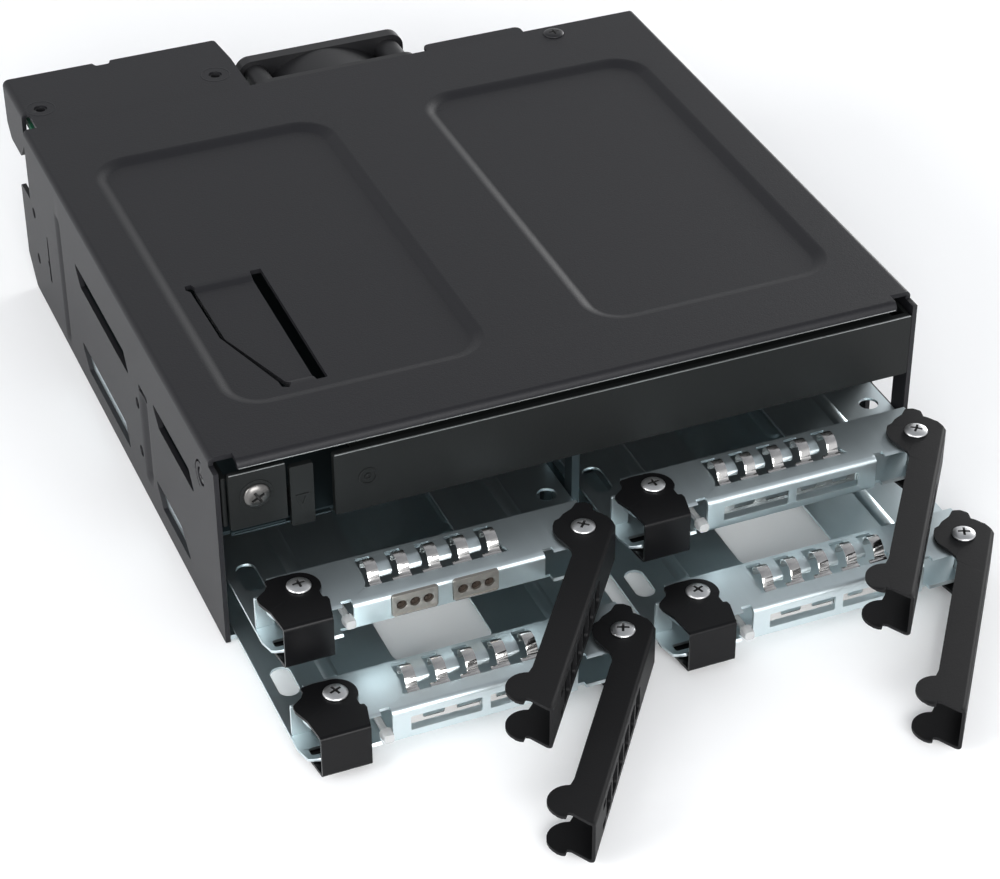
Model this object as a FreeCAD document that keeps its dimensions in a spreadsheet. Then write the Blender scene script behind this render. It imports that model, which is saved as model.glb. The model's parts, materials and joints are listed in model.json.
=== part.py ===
import FreeCAD, Part
import os
import re
import Sketcher

# Hot swap drive cage for one half-height 5.25 inch bay: four 2.5 inch trays, two by two, under
# a slim optical bay.  X runs right, Y to the rear and Z up.  The origin is the middle of the
# underside.  Every length is in millimetres and every angle in degrees.

os.makedirs("parts", exist_ok=True)
doc = FreeCAD.newDocument("cage")

# ---------------------------------------------------------------- driving dimensions
DIMS = [
    ("cage_w", 146.0, "width over the side walls"),
    ("cage_d", 134.0, "depth of the top cover"),
    ("cage_h", 41.3, "height over everything but the fan"),
    ("skin", 1.0, "sheet of the cover and the bottom"),
    ("wing_len", 8.0, "how far the side walls run on behind the cover, low down"),
    ("wing_h", 24.0, "height of those rear wings"),
    ("bay_half", 35.6, "half the clear width of one tray bay"),
    ("tray_pitch", 11.0, "height from a lower tray to the one above"),
    ("tray_low", 2.2, "underside of the lower trays"),
    ("shelf_z", 23.9, "underside of the optical bay shelf"),
    ("sheet", 0.6, "sheet of the trays, latches and levers"),
    ("tray_half", 34.85, "half the width of a tray floor"),
    ("tray_len", 106.0, "length of a tray floor"),
    ("bar_h", 7.5, "height of the tray's front bar"),
    ("bar_d", 15.3, "depth of the front bar's top plate"),
    ("lip_half", 18.2, "half the width of the front lip"),
    ("run_gap", 0.3, "clearance between pieces that move past each other"),
    ("latch_x", 26.2, "latch screw, left of the tray's middle"),
    ("latch_y", 7.8, "latch screw, behind the lip"),
    ("pivot_x", 28.9, "lever screw, right of the tray's middle"),
    ("pivot_y", 3.9, "lever screw, behind the lip"),
    ("lever_open", 54.0, "angle of an open lever from its closed place"),
    ("lip_closed", 3.2, "lip of a closed tray behind the cage's front"),
    ("out_ul", 22.8, "how far the upper left tray is drawn out in front of the cage"),
    ("out_ur", 19.9, "the same for the upper right tray"),
    ("out_ll", 41.3, "the same for the lower left tray"),
    ("out_lr", 40.4, "the same for the lower right tray"),
    ("head_r", 5.8, "round head of a lever"),
    ("lever_v", 5.7, "lever pivot to the outer face of its web"),
    ("lever_len", 51.7, "lever pivot to the end of its web"),
    ("ear_u", 47.0, "lever pivot to the middle of its end ear"),
    ("ear_r", 4.1, "radius of the end ear"),
    ("vent_n_pitch", 5.2, "pitch of the slots in a lever's web"),
    ("vent_len", 4.2, "length of one slot"),
    ("latch_face", 10.7, "latch screw to the front face of the latch"),
    ("latch_r", 4.4, "round rear of the latch"),
    ("screw_r", 2.35, "head radius of the tray screws"),
    ("screw_head", 0.8, "head height of the tray screws"),
    ("shank_r", 1.3, "shank radius of the tray screws"),
    ("run_fit", 0.06, "radial clearance of a pivot hole round its shank"),
    ("finger_w", 2.2, "width of one spring finger"),
    ("finger_pitch", 6.0, "pitch of the spring fingers"),
    ("drive_hole_x", 30.86, "drive screw holes, off the tray's middle"),
    ("drive_hole_y", 25.6, "first pair of drive screw holes, behind the lip"),
    ("drive_hole_r", 2.0, "radius of the drive screw holes"),
    ("drive_hole_gap", 76.6, "front to rear spacing of the drive screw holes"),
    ("pan_in", 10.3, "inner edge of the stamped pans from the middle"),
    ("pan_out", 64.5, "outer edge of the stamped pans from the middle"),
    ("pan_front", 15.4, "front edge of the pans behind the cage's front"),
    ("pan_rear", 115.0, "rear edge of the pans behind the cage's front"),
    ("pan_r", 7.0, "corner radius of the pans"),
    ("pan_deep", 0.5, "depth of the pans"),
    ("bay_hole_y", 52.5, "front pair of bay mounting holes behind the cage's front"),
    ("bay_hole_gap", 79.25, "front to rear spacing of the bay mounting holes"),
    ("bay_hole_lo", 10.0, "lower side hole above the underside"),
    ("bay_hole_hi", 21.8, "upper side hole above the underside"),
    ("bay_hole_w", 139.7, "spacing of the bottom holes across the cage"),
    ("bay_hole_r", 1.25, "thread radius of the bay mounting holes"),
    ("relief_w", 4.0, "width of the square reliefs at the cover's front corners"),
    ("relief_d", 3.0, "depth of those reliefs"),
    ("slot_front", 14.0, "front end of the front side slots behind the cage's front"),
    ("slot_mid", 41.0, "rear end of the front side slots"),
    ("slot_back", 58.0, "front end of the rear side slots"),
    ("slot_end", 97.0, "rear end of the rear side slots"),
    ("tongue_front", 21.0, "front end of the tongue's slots behind the cage's front"),
    ("tongue_len", 41.0, "length of the tongue"),
    ("tongue_x", 15.3, "left slot of the tongue from the cage's left side"),
    ("tongue_w", 14.8, "width over the tongue's two slots"),
    ("bezel_drop", 2.3, "top of the bezel below the cover's top"),
    ("bezel_low", 24.3, "bottom of the bezel"),
    ("end_plate_w", 11.2, "width of the short front plate"),
    ("tab_w", 4.8, "width of the lock tab"),
    ("tab_play", 3.9, "gap between the lock tab and the bezel"),
    ("bezel_t", 1.6, "thickness of the bezel"),
    ("side_screw_y", 8.5, "side screws behind the cage's front"),
    ("side_screw_z", 33.6, "side screws above the underside"),
    ("side_head_r", 1.9, "head radius of the side screws"),
    ("side_shank_r", 1.05, "shank radius of the side screws"),
    ("board_back", 13.0, "front face of the backplane ahead of the cover's rear edge"),
    ("socket_d", 5.0, "depth of the drive sockets"),
    ("socket_w", 42.0, "width of the drive sockets"),
    ("port_w", 14.0, "width of a data port"),
    ("port_h", 6.0, "height of a data port"),
    ("power_w", 38.6, "width of the power block"),
    ("power_h", 8.8, "height of the power block"),
    ("board_t", 1.6, "thickness of the circuit boards"),
    ("fan_size", 40.0, "side of the fan"),
    ("fan_t", 15.0, "depth of the fan"),
    ("fan_hole", 16.0, "fan screws from the fan's axis"),
    ("fan_bore", 18.8, "radius of the fan's duct"),
    ("fan_z", 20.6, "height of the fan's axis"),
    ("hub_r", 9.0, "radius of the fan's hub"),
    ("shaft_r", 1.2, "radius of the fan's shaft"),
    ("fan_screw_r", 1.4, "shank radius of the fan screws"),
    ("bracket_w", 50.6, "width of the rear bracket"),
    ("bracket_out", 26.0, "how far the rear bracket stands out behind the cover"),
    ("bracket_tuck", 8.0, "how far it reaches under the cover"),
    ("flap_h", 13.3, "height of the bracket's folded side"),
    ("bracket_hole_in", 4.6, "bracket screws from the bracket's sides"),
    ("bracket_screw_r", 1.4, "shank radius of the bracket screws"),
    ("cover_screw_r", 1.5, "shank radius of the cover screw"),
    ("bracket_hole_y", 10.0, "bracket screws behind the cover's rear edge"),
    ("odd_inset", 47.4, "width of the optical board"),
    ("port_pitch", 20.0, "spacing of the data ports"),
    ("odd_drop", 4.6, "underside of the optical board below the cover's sheet"),
]

sheet = doc.addObject("Spreadsheet::Sheet", "dims")
sheet.Label = "driving dimensions"
for row, (alias, value, about) in enumerate(DIMS, start=1):
    sheet.set(f"A{row}", about)
    sheet.set(f"B{row}", str(value))
    sheet.setAlias(f"B{row}", alias)
doc.recompute()
PANEL_Y = "(cage_d-skin)"      # front face of the rear panel behind the cage's front
BOARD_Y = "(cage_d-board_back)"
WORD = re.compile(r"\b(" + "|".join(sorted((d[0] for d in DIMS), key=len, reverse=True)) + r")\b")


def ex(text):
    """An expression whose bare names are cells of the driving sheet."""
    return WORD.sub(r"dims.\1", str(text))


FRONT = "(-cage_d/2)"          # the cage's front plane
Y_TURN = FreeCAD.Rotation(FreeCAD.Vector(1, 0, 0), -90)
X_TURN = FreeCAD.Rotation(FreeCAD.Vector(0, 1, 0), 90)
count = [0]


def fresh(kind, hint):
    count[0] += 1
    return doc.addObject(kind, f"{hint}_{count[0]}")


def put(thing, x=0, y=0, z=0):
    for axis, value in zip("xyz", (x, y, z)):
        thing.setExpression(f".Placement.Base.{axis}", ex(value))
    return thing


def box(x0, x1, y0, y1, z0, z1):
    thing = fresh("Part::Box", "box")
    for side, low, high in (("Length", x0, x1), ("Width", y0, y1), ("Height", z0, z1)):
        thing.setExpression(side, ex(f"({high})-({low})"))
    return put(thing, x0, y0, z0)


def rod(radius, x, y, z, length, axis="z"):
    """A cylinder from (x, y, z) along +axis."""
    thing = fresh("Part::Cylinder", "rod")
    thing.setExpression("Radius", ex(radius))
    thing.setExpression("Height", ex(length))
    thing.Placement.Rotation = {"x": X_TURN, "y": Y_TURN}.get(axis, FreeCAD.Rotation())
    return put(thing, x, y, z)


def fuse(*parts):
    parts = [p for p in parts if p is not None]
    if len(parts) == 1:
        return parts[0]
    thing = fresh("Part::MultiFuse", "fuse")
    thing.Shapes = parts
    return thing


def cut(base, *tools):
    thing = fresh("Part::Cut", "cut")
    thing.Base = base
    thing.Tool = fuse(*tools)
    return thing


def outline(points, low, high, plane="xy"):
    """Extrude a closed outline between two levels.  On yz the points are (y, z) and the levels
    are x; on xz they are (x, z) and the levels are y."""
    sk = fresh("Sketcher::SketchObject", "sketch")
    sk.Placement.Rotation = {"xy": FreeCAD.Rotation(), "yz": FreeCAD.Rotation(0.5, 0.5, 0.5, 0.5),
                             "xz": FreeCAD.Rotation(FreeCAD.Vector(1, 0, 0), 90)}[plane]
    n = len(points)
    for i in range(n):
        a, b = (i * 2.0, (i * i) % 7), ((i + 1) % n * 2.0, ((i + 1) % n) ** 2 % 7)
        sk.addGeometry(Part.LineSegment(FreeCAD.Vector(a[0], a[1], 0), FreeCAD.Vector(b[0], b[1], 0)))
    for i in range(n):
        sk.addConstraint(Sketcher.Constraint("Coincident", i, 2, (i + 1) % n, 1))
    for i, point in enumerate(points):
        for kind, value in zip(("DistanceX", "DistanceY"), point):
            number = sk.addConstraint(Sketcher.Constraint(kind, -1, 1, i, 1, 1.0 + i))
            sk.setExpression(f"Constraints[{number}]", ex(value))
    solid = fresh("Part::Extrusion", "plate")
    solid.Base = sk
    solid.DirMode = "Custom"
    solid.Dir = {"xy": FreeCAD.Vector(0, 0, 1), "yz": FreeCAD.Vector(1, 0, 0),
                 "xz": FreeCAD.Vector(0, 1, 0)}[plane]
    solid.Solid = True
    solid.setExpression("LengthFwd", ex(f"({high})-({low})"))
    axis = {"xy": "z", "yz": "x", "xz": "y"}[plane]
    sk.setExpression(f".Placement.Base.{axis}", ex(low))
    return solid


def pill(x0, x1, y0, y1, z0, z1, r):
    """A plate with four round corners."""
    r = f"({r})"
    corners = [rod(r, f"({x})", f"({y})", z0, f"({z1})-({z0})")
               for x in (f"{x0}+{r}", f"{x1}-{r}") for y in (f"{y0}+{r}", f"{y1}-{r}")]
    return fuse(box(f"{x0}+{r}", f"{x1}-{r}", y0, y1, z0, z1),
                box(x0, x1, f"{y0}+{r}", f"{y1}-{r}", z0, z1), *corners)


nodes = []


def node(label, shape, x=0, y=0, z=0, turn=None):
    """The finished piece: a copy of a shape under its own name, at its own place."""
    thing = doc.addObject("Part::Compound", label)
    thing.Label = label
    thing.Links = [shape]
    if turn is not None:
        thing.Placement.Rotation = FreeCAD.Rotation(FreeCAD.Vector(0, 0, 1), 1)
        thing.setExpression(".Placement.Rotation.Angle", ex(turn))
    put(thing, x, y, z)
    nodes.append(thing)
    return thing


def back(distance):
    """A Y behind the cage's front plane."""
    return f"({FRONT}+{distance})"


HALF = "(cage_w/2)"
INNER = "(cage_w/2-skin)"

# ---------------------------------------------------------------- top cover with its side walls
TOP_UNDER = "(cage_h-skin)"
shell = cut(box(f"-{HALF}", HALF, back(0), back("cage_d"), 0, "cage_h"),
            box(f"-{INNER}", INNER, back(-1), back("cage_d+1"), -1, TOP_UNDER))
pieces = [shell]
for side in (-1, 1):
    wall = (f"-{HALF}", f"-{INNER}") if side < 0 else (INNER, HALF)
    # The low rear wing with its cut-off corner.
    pieces.append(outline([(back("cage_d-2"), 0), (back("cage_d+wing_len-5"), 0),
                           (back("cage_d+wing_len"), 6), (back("cage_d+wing_len"), "wing_h"),
                           (back("cage_d-2"), "wing_h")], wall[0], wall[1], "yz"))
pieces.append(box(f"-{HALF}+relief_w", f"{HALF}-relief_w", back(0), back("skin"), "cage_h-2*skin", TOP_UNDER))
for side in (-1, 1):
    edges = ("pan_in-1", "pan_out+1") if side > 0 else ("-pan_out-1", "-pan_in+1")
    pieces.append(pill(edges[0], edges[1], back("pan_front-1"), back("pan_rear+1"),
                       f"{TOP_UNDER}-pan_deep", f"{TOP_UNDER}+0.2", "pan_r+1"))
cover = fuse(*pieces)

gone = []
for side in (-1, 1):
    edges = ("pan_in", "pan_out") if side > 0 else ("-pan_out", "-pan_in")
    gone.append(pill(edges[0], edges[1], back("pan_front"), back("pan_rear"),
                     "cage_h-pan_deep", "cage_h+1", "pan_r"))
    # Square reliefs where the front lip meets the walls.
    edge = (f"-{HALF}-1", f"-{HALF}+relief_w") if side < 0 else (f"{HALF}-relief_w", f"{HALF}+1")
    gone.append(box(edge[0], edge[1], back(-1), back("relief_d"), TOP_UNDER, "cage_h+1"))
    # Long slots, two high and two deep, then the bay holes and the crescent by the front screw.
    wall = (f"-{HALF}-1", f"-{INNER}+1") if side < 0 else (f"{INNER}-1", f"{HALF}+1")
    for y0, y1, z0, z1 in (("slot_back", "slot_end", "shelf_z+1.7", "shelf_z+5.5"),
                           ("slot_back+4", "slot_end", "tray_low+2.3", "tray_low+7.3"),
                           ("slot_front", "slot_mid", "shelf_z+1.7", "shelf_z+5.5"),
                           ("slot_front+6", "slot_mid+1", "tray_low+2.3", "tray_low+7.3")):
        gone.append(outline([(back(y0), z0), (back(f"{y1}-4"), z0), (back(y1), z1), (back(f"{y0}+3"), z1)],
                            wall[0], wall[1], "yz"))
    for y in (back("bay_hole_y"), back("bay_hole_y+bay_hole_gap")):
        for z in ("bay_hole_lo", "bay_hole_hi"):
            gone.append(rod("bay_hole_r", wall[0], y, z, f"({wall[1]})-({wall[0]})", "x"))
    gone.append(rod("side_head_r+run_fit", wall[0], back("side_screw_y"), "side_screw_z",
                    f"({wall[1]})-({wall[0]})", "x"))
    # A shallow upright groove near the rear.
    groove = (f"-{HALF}-1", f"-{HALF}+0.3") if side < 0 else (f"{HALF}-0.3", f"{HALF}+1")
    gone.append(box(groove[0], groove[1], back(107.5), back(111), 3, 34))
# Cam slots for the two right-hand levers.
for z in ("tray_low", "tray_low+tray_pitch"):
    gone.append(box(f"{INNER}-1", f"{HALF}+1", back("lip_closed+pivot_y-2.2"),
                    back("lip_closed+pivot_y+7.5"), f"{z}-sheet-run_gap-0.4", f"{z}+bar_h+sheet+run_gap+0.4"))
# The retention tongue in the left pan: a straight slot, a cranked slot and a bend groove.
TL, TR = f"(-{HALF}+tongue_x)", f"(-{HALF}+tongue_x+tongue_w)"
T0, T1 = "tongue_front", "tongue_front+tongue_len"
gone.append(box(f"{TR}-2.5", TR, back(T0), back(T1), f"{TOP_UNDER}-1", "cage_h"))
gone.append(outline([(f"{TL}-1", back(f"{T1}-1")), (f"{TL}-0.8", back(f"{T0}+20")), (f"{TL}+5.6", back(T0)),
                     (f"{TL}+6.9", back(T0)), (f"{TL}+6.9", back(f"{T0}+2")), (f"{TL}+0.6", back(f"{T0}+21")),
                     (f"{TL}+0.6", back(f"{T1}-1"))], f"{TOP_UNDER}-1", "cage_h"))
gone.append(box(f"{TL}+0.4", f"{TR}-2.3", back(f"{T1}-2.2"), back(f"{T1}-1"), "cage_h-pan_deep-0.3", "cage_h"))
COVER_SCREW = (f"({HALF}-21.8)", back("cage_d-3.4"))
gone.append(rod("cover_screw_r+0.1", *COVER_SCREW, f"{TOP_UNDER}-0.5", 3))
node("top_cover", cut(cover, *gone))

# ---------------------------------------------------------------- bottom, divider and shelf
floor = box(f"-{INNER}", INNER, back("sheet"), back("cage_d"), 0, "skin")
holes = [rod("bay_hole_r", x, back(y), -1, "skin+2") for x in ("-bay_hole_w/2", "bay_hole_w/2")
         for y in ("bay_hole_y", "bay_hole_y+bay_hole_gap")]
BAY = f"({INNER}-bay_half)"            # middle of a bay
vents = [box(f"{side}*{BAY}-12", f"{side}*{BAY}+12", back(f"cage_d/2+{y}"), back(f"cage_d/2+{y}+3"), -1, "skin+1")
         for side in (-1, 1) for y in range(0, 40, 8)]
node("bottom_plate", cut(floor, *holes, *vents))

DIV = f"({INNER}-2*bay_half)"          # half the divider's thickness
divider = fuse(box(f"-{DIV}", DIV, back(1.5), back(BOARD_Y), "skin", "shelf_z"))
slots = [box(f"-{DIV}-1", f"{DIV}+1", back("lip_closed+pivot_y-2.2"), back("lip_closed+pivot_y+7.5"),
             f"{z}-sheet-run_gap-0.4", f"{z}+bar_h+sheet+run_gap+0.4")
         for z in ("tray_low", "tray_low+tray_pitch")]
ports = [box(f"-{DIV}-1", f"{DIV}+1", back(f"cage_d*{y}"), back(f"cage_d*{y}+14"), f"{z}+2.8", f"{z}+6.8")
         for y in (0.3, 0.46, 0.62) for z in ("tray_low", "tray_low+tray_pitch")]
node("centre_divider", cut(divider, *slots, *ports))
SHELF_TOP = "(shelf_z+skin*0.8)"
shelf = fuse(box(f"-{INNER}", INNER, back(2), back("cage_d-8"), "shelf_z", SHELF_TOP),
             box(f"-{INNER}+2", f"-{HALF}+2.4+end_plate_w", back(1.2), back(2), "shelf_z", SHELF_TOP))
node("odd_shelf", shelf)

# Channel runners carry the tray edges: a web on the wall and a ledge under each tray.
for label, x, side in (("runner_left", f"-{INNER}", 1), ("runner_mid_left", f"-{DIV}", -1),
                       ("runner_mid_right", DIV, 1), ("runner_right", INNER, -1)):
    def span(a, b):
        return (f"{x}+({a})", f"{x}+({b})") if side > 0 else (f"{x}-({b})", f"{x}-({a})")
    web = box(*span("0", "0.4"), back(17), back(f"{BOARD_Y}-4"), "skin", "tray_low+tray_pitch-run_gap")
    low = box(*span("0", "2"), back(17), back(f"{BOARD_Y}-4"), "skin", "tray_low-run_gap")
    top = box(*span("0", "2"), back(17), back(f"{BOARD_Y}-4"),
              "tray_low+tray_pitch-run_gap-0.5", "tray_low+tray_pitch-run_gap")
    node(label, fuse(web, low, top))

# ---------------------------------------------------------------- front of the optical bay
BEZEL_TOP = "(cage_h-bezel_drop)"
E0 = f"(-{HALF}+2.4)"                   # left edge of the short plate
E1 = f"({E0}+end_plate_w)"
B0 = f"({E1}+0.6+tab_w+tab_play)"        # left edge of the long bezel
SIDE_EYE = [rod("side_shank_r+run_fit", f"{side}*{HALF}-8", back("side_screw_y"), "side_screw_z", 16, "x")
            for side in (-1, 1)]
end = fuse(box(E0, E1, back(-0.6), back(0.6), "bezel_low+2", BEZEL_TOP),
           box(E0, E1, back(0.6), back(2), SHELF_TOP, f"{BEZEL_TOP}-1"),
           box(f"-{INNER}", E0, back(0.6), back("side_screw_y+3"), "bezel_low+2.5", f"{BEZEL_TOP}-1"))
SCREW_X, SCREW_Z = f"({E0}+5.4)", f"({BEZEL_TOP}-5.6)"
node("bezel_end_plate", cut(end, SIDE_EYE[0], rod(1.4, SCREW_X, back(-2), SCREW_Z, 6, "y")))
post = fuse(rod(2.6, SCREW_X, back(-1.7), SCREW_Z, 1.1, "y"), rod(1.4, SCREW_X, back(-0.7), SCREW_Z, 5, "y"))
node("bezel_screw", cut(post, box(f"{SCREW_X}-1.2", f"{SCREW_X}+1.2", back(-1.8), back(-1.1),
                                  f"{SCREW_Z}-0.3", f"{SCREW_Z}+0.3"),
                        box(f"{SCREW_X}-0.3", f"{SCREW_X}+0.3", back(-1.8), back(-1.1),
                            f"{SCREW_Z}-1.2", f"{SCREW_Z}+1.2")))

tab = fuse(box(f"{E1}+0.6", f"{E1}+0.6+tab_w", back(-0.8), back(0.8), "bezel_low-0.2", f"{BEZEL_TOP}-1.2"),
           box(f"{E1}+1.8", f"{E1}-0.6+tab_w", back(0.8), back(7), f"{SHELF_TOP}+0.05", f"{SHELF_TOP}+3"))
node("bay_lock_tab", tab)
bezel = fuse(box(B0, f"{HALF}-1.6", back(-0.9), back("bezel_t-0.9"), "bezel_low", BEZEL_TOP),
             box(f"{B0}+4", f"{HALF}-5", back("bezel_t-0.9"), back(6), f"{BEZEL_TOP}-2", f"{BEZEL_TOP}-1"),
             box(f"{B0}+4", f"{HALF}-5", back("bezel_t-0.9"), back(6), SHELF_TOP, f"{SHELF_TOP}+1"),
             box(f"{HALF}-2.4", INNER, back("bezel_t-0.9"), back("side_screw_y+3"), "bezel_low+2.5", f"{BEZEL_TOP}-1"))
node("bay_bezel", cut(bezel, SIDE_EYE[1]))

# ---------------------------------------------------------------- boards and sockets at the rear
TRAYS = [("ul", f"-{BAY}", "out_ul", "(tray_low+tray_pitch)"), ("ur", BAY, "out_ur", "(tray_low+tray_pitch)"),
         ("ll", f"-{BAY}", "out_ll", "tray_low"), ("lr", BAY, "out_lr", "tray_low")]
board = box(f"-{INNER}+0.3", f"{INNER}-0.3", back(BOARD_Y), back(f"{BOARD_Y}+board_t"), "skin+0.4", "shelf_z-0.4")
windows = [box(f"{side}*({INNER}-14)-8", f"{side}*({INNER}-14)+8", back(f"{BOARD_Y}-1"),
               back(f"{BOARD_Y}+board_t+1"), f"{z}+5.2", f"{z}+8.6")
           for side in (-1, 1) for z in ("tray_low", "tray_low+tray_pitch")]
windows += [box("-4*skin-4", "4*skin+4", back(f"{BOARD_Y}-1"), back(f"{BOARD_Y}+board_t+1"), 5, "shelf_z-4")]
node("backplane_board", cut(board, *windows))
for tag, x, out, z in TRAYS:
    body = box("-socket_w/2-1", "socket_w/2-1", back(f"{BOARD_Y}-socket_d"), back(BOARD_Y), 1.6, 6.6)
    keys = [box(x0, x1, back(f"{BOARD_Y}-socket_d-1"), back(f"{BOARD_Y}-1.5"), 3.4, 4.9)
            for x0, x1 in (("-socket_w/2+0.5", "-6"), ("-3.5", "socket_w/2-2.5"))]
    node(f"drive_connector_{tag}", cut(body, *keys), x, 0, z)
leds = [box(f"{x}-27.4", f"{x}-26", back(f"{BOARD_Y}-0.9"), back(BOARD_Y), f"{z}+2.4", f"{z}+3.2")
        for _, x, _, z in TRAYS]
node("board_leds", fuse(*leds))

OUT = f"{PANEL_Y}+skin"                # rear face of the panel
THROUGH = (back(f"{PANEL_Y}-1"), back(f"{OUT}+1"))
PORTS = [(f"({HALF}-47+{i}*port_pitch)", f"({z}+2)") for i in (0, 1) for z in ("tray_low", "tray_low+tray_pitch")]
POWER = f"(-{HALF}+9.8)"               # left end of the power block
POWER_Z = "(tray_low+4.4)"
BR0, BR1 = f"(-{HALF}+2)", f"(-{HALF}+2+bracket_w)"      # sides of the rear bracket
panel = fuse(box(f"-{INNER}", INNER, back(PANEL_Y), back(OUT), "skin", TOP_UNDER),
             box("fan_size/2+2", f"{HALF}-27", back(OUT), back(f"{OUT}+5"), f"{TOP_UNDER}-1", TOP_UNDER))
open_ = [rod("fan_bore-0.6", 0, back(f"{PANEL_Y}-1"), "fan_z", "skin+2", "y")]
open_ += [box(x, f"{x}+port_w+0.4", *THROUGH, z, f"{z}+port_h+0.4") for x, z in PORTS]
open_ += [box(f"{POWER}-0.2", f"{POWER}+power_w+0.2", *THROUGH, f"{POWER_Z}-0.2", f"{POWER_Z}+power_h+0.2")]
open_ += [box(f"{BR0}-0.5", f"{BR1}+0.5", *THROUGH, "cage_h-flap_h-skin-1", f"{TOP_UNDER}+1")]
open_ += [box(f"{HALF}-45+{i}*4", f"{HALF}-43.4+{i}*4", *THROUGH, "shelf_z+2", f"{TOP_UNDER}-3")
          for i in range(10)]
FAN_EYES = [(f"{sx}*fan_hole", f"fan_z+({sz}*fan_hole)") for sx in (-1, 1) for sz in (-1, 1)]
open_ += [rod("fan_screw_r+0.1", cx, back(f"{PANEL_Y}-1"), cz, "skin+2", "y") for cx, cz in FAN_EYES]
node("rear_panel", cut(panel, *open_))
ports = [cut(box(f"{x}+0.2", f"{x}+0.2+port_w", back(f"{BOARD_Y}+board_t"), back(f"{OUT}+1"),
                 f"{z}+0.2", f"{z}+0.2+port_h"),
             box(f"{x}+1.6", f"{x}+port_w-1.2", back(f"{PANEL_Y}-6"), back(f"{OUT}+2"), f"{z}+1.6", f"{z}+3.6"))
         for x, z in PORTS]
node("data_ports", fuse(*ports))
power = box(POWER, f"{POWER}+power_w", back(f"{BOARD_Y}+board_t"), back(f"{OUT}+4"), POWER_Z, f"{POWER_Z}+power_h")
pins = [rod(2.1, f"{POWER}+4.2+{i}*5", back(f"{PANEL_Y}-6"), f"{POWER_Z}+power_h/2", "skin+12", "y")
        for i in range(4)]
pins += [box(f"{POWER}+power_w-13.4", f"{POWER}+power_w-3.4", back(f"{PANEL_Y}-6"), back(f"{OUT}+6"),
             f"{POWER_Z}+3", f"{POWER_Z}+5.2")]
node("power_ports", cut(power, *pins))

# ---------------------------------------------------------------- fan
FAN0, FAN1 = back(f"{PANEL_Y}+skin"), back(f"{PANEL_Y}+skin+fan_t")
flange = "3"
F = "(fan_size/2)"
frame = fuse(box(f"-{F}", F, FAN0, f"{FAN0}+{flange}", f"fan_z-{F}", f"fan_z+{F}"),
             box(f"-{F}", F, f"{FAN1}-{flange}", FAN1, f"fan_z-{F}", f"fan_z+{F}"),
             rod(f"{F}-0.05", 0, FAN0, "fan_z", "fan_t", "y"))
frame = cut(frame, rod("fan_bore", 0, f"{FAN0}-1", "fan_z", "fan_t+2", "y"),
            *[rod("fan_screw_r+0.35", cx, f"{FAN0}-1", cz, "fan_t+2", "y") for cx, cz in FAN_EYES])
hold = fuse(rod("hub_r", 0, f"{FAN1}-1.6", "fan_z", 1.6, "y"),
            box(f"-fan_bore-0.6", "fan_bore+0.6", f"{FAN1}-1.4", FAN1, "fan_z-0.9", "fan_z+0.9"),
            box("-0.9", "0.9", f"{FAN1}-1.4", FAN1, "fan_z-fan_bore-0.6", "fan_z+fan_bore+0.6"))
hold = cut(hold, rod("shaft_r+run_fit", 0, f"{FAN1}-2", "fan_z", 3, "y"))
node("fan_frame", fuse(frame, hold))

# The rotor is one blade padded beside the hub and patterned round it.
rotor = doc.addObject("PartDesign::Body", "rotor_body")


def plane_of(body, role):
    return [f for f in body.Origin.OriginFeatures if f.Role == role][0]


def flat_sketch(body, name, role):
    sk = body.newObject("Sketcher::SketchObject", name)
    sk.AttachmentSupport = [(plane_of(body, role), "")]
    sk.MapMode = "FlatFace"
    return sk


sk = flat_sketch(rotor, "hub_sketch", "XY_Plane")
sk.addGeometry(Part.Circle(FreeCAD.Vector(0, 0, 0), FreeCAD.Vector(0, 0, 1), 9))
sk.addConstraint(Sketcher.Constraint("Coincident", 0, 3, -1, 1))
sk.setExpression(f"Constraints[{sk.addConstraint(Sketcher.Constraint('Radius', 0, 9))}]", ex("hub_r-0.2"))
hub = rotor.newObject("PartDesign::Pad", "hub_pad")
hub.Profile = sk
hub.setExpression("Length", ex("fan_t-3.4"))
sk1 = flat_sketch(rotor, "shaft_sketch", "XY_Plane")
sk1.addGeometry(Part.Circle(FreeCAD.Vector(0, 0, 0), FreeCAD.Vector(0, 0, 1), 1))
sk1.addConstraint(Sketcher.Constraint("Coincident", 0, 3, -1, 1))
sk1.setExpression(f"Constraints[{sk1.addConstraint(Sketcher.Constraint('Radius', 0, 1))}]", ex("shaft_r"))
shaft = rotor.newObject("PartDesign::Pad", "shaft_pad")
shaft.Profile = sk1
shaft.setExpression("Length", ex("fan_t-1.6"))
sk2 = flat_sketch(rotor, "blade_sketch", "XY_Plane")
for i in range(4):
    a, b = [(8, -2), (18, -6), (18, -5), (8, -1)][i], [(18, -6), (18, -5), (8, -1), (8, -2)][i]
    sk2.addGeometry(Part.LineSegment(FreeCAD.Vector(*a, 0), FreeCAD.Vector(*b, 0)))
for i in range(4):
    sk2.addConstraint(Sketcher.Constraint("Coincident", i, 2, (i + 1) % 4, 1))
PTS_R = [("hub_r-1.4", -2.6), ("fan_bore*0.92", -6.4), ("fan_bore*0.95", -5.2), ("hub_r-1.4", -1.4)]
for i, point in enumerate(PTS_R):
    for kind, value in zip(("DistanceX", "DistanceY"), point):
        number = sk2.addConstraint(Sketcher.Constraint(kind, -1, 1, i, 1, 1.0 + i))
        sk2.setExpression(f"Constraints[{number}]", ex(value))
blade = rotor.newObject("PartDesign::Pad", "blade_pad")
blade.Profile = sk2
blade.setExpression("Length", ex("fan_t-5.4"))
ring = rotor.newObject("PartDesign::PolarPattern", "blade_ring")
ring.Originals = [blade]
ring.Axis = (sk2, ["N_Axis"])
ring.Angle = 360
ring.Occurrences = 7
rotor.Tip = ring
rotor.Placement.Rotation = Y_TURN
put(rotor, 0, f"{FAN0}+1.3", "fan_z")
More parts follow.
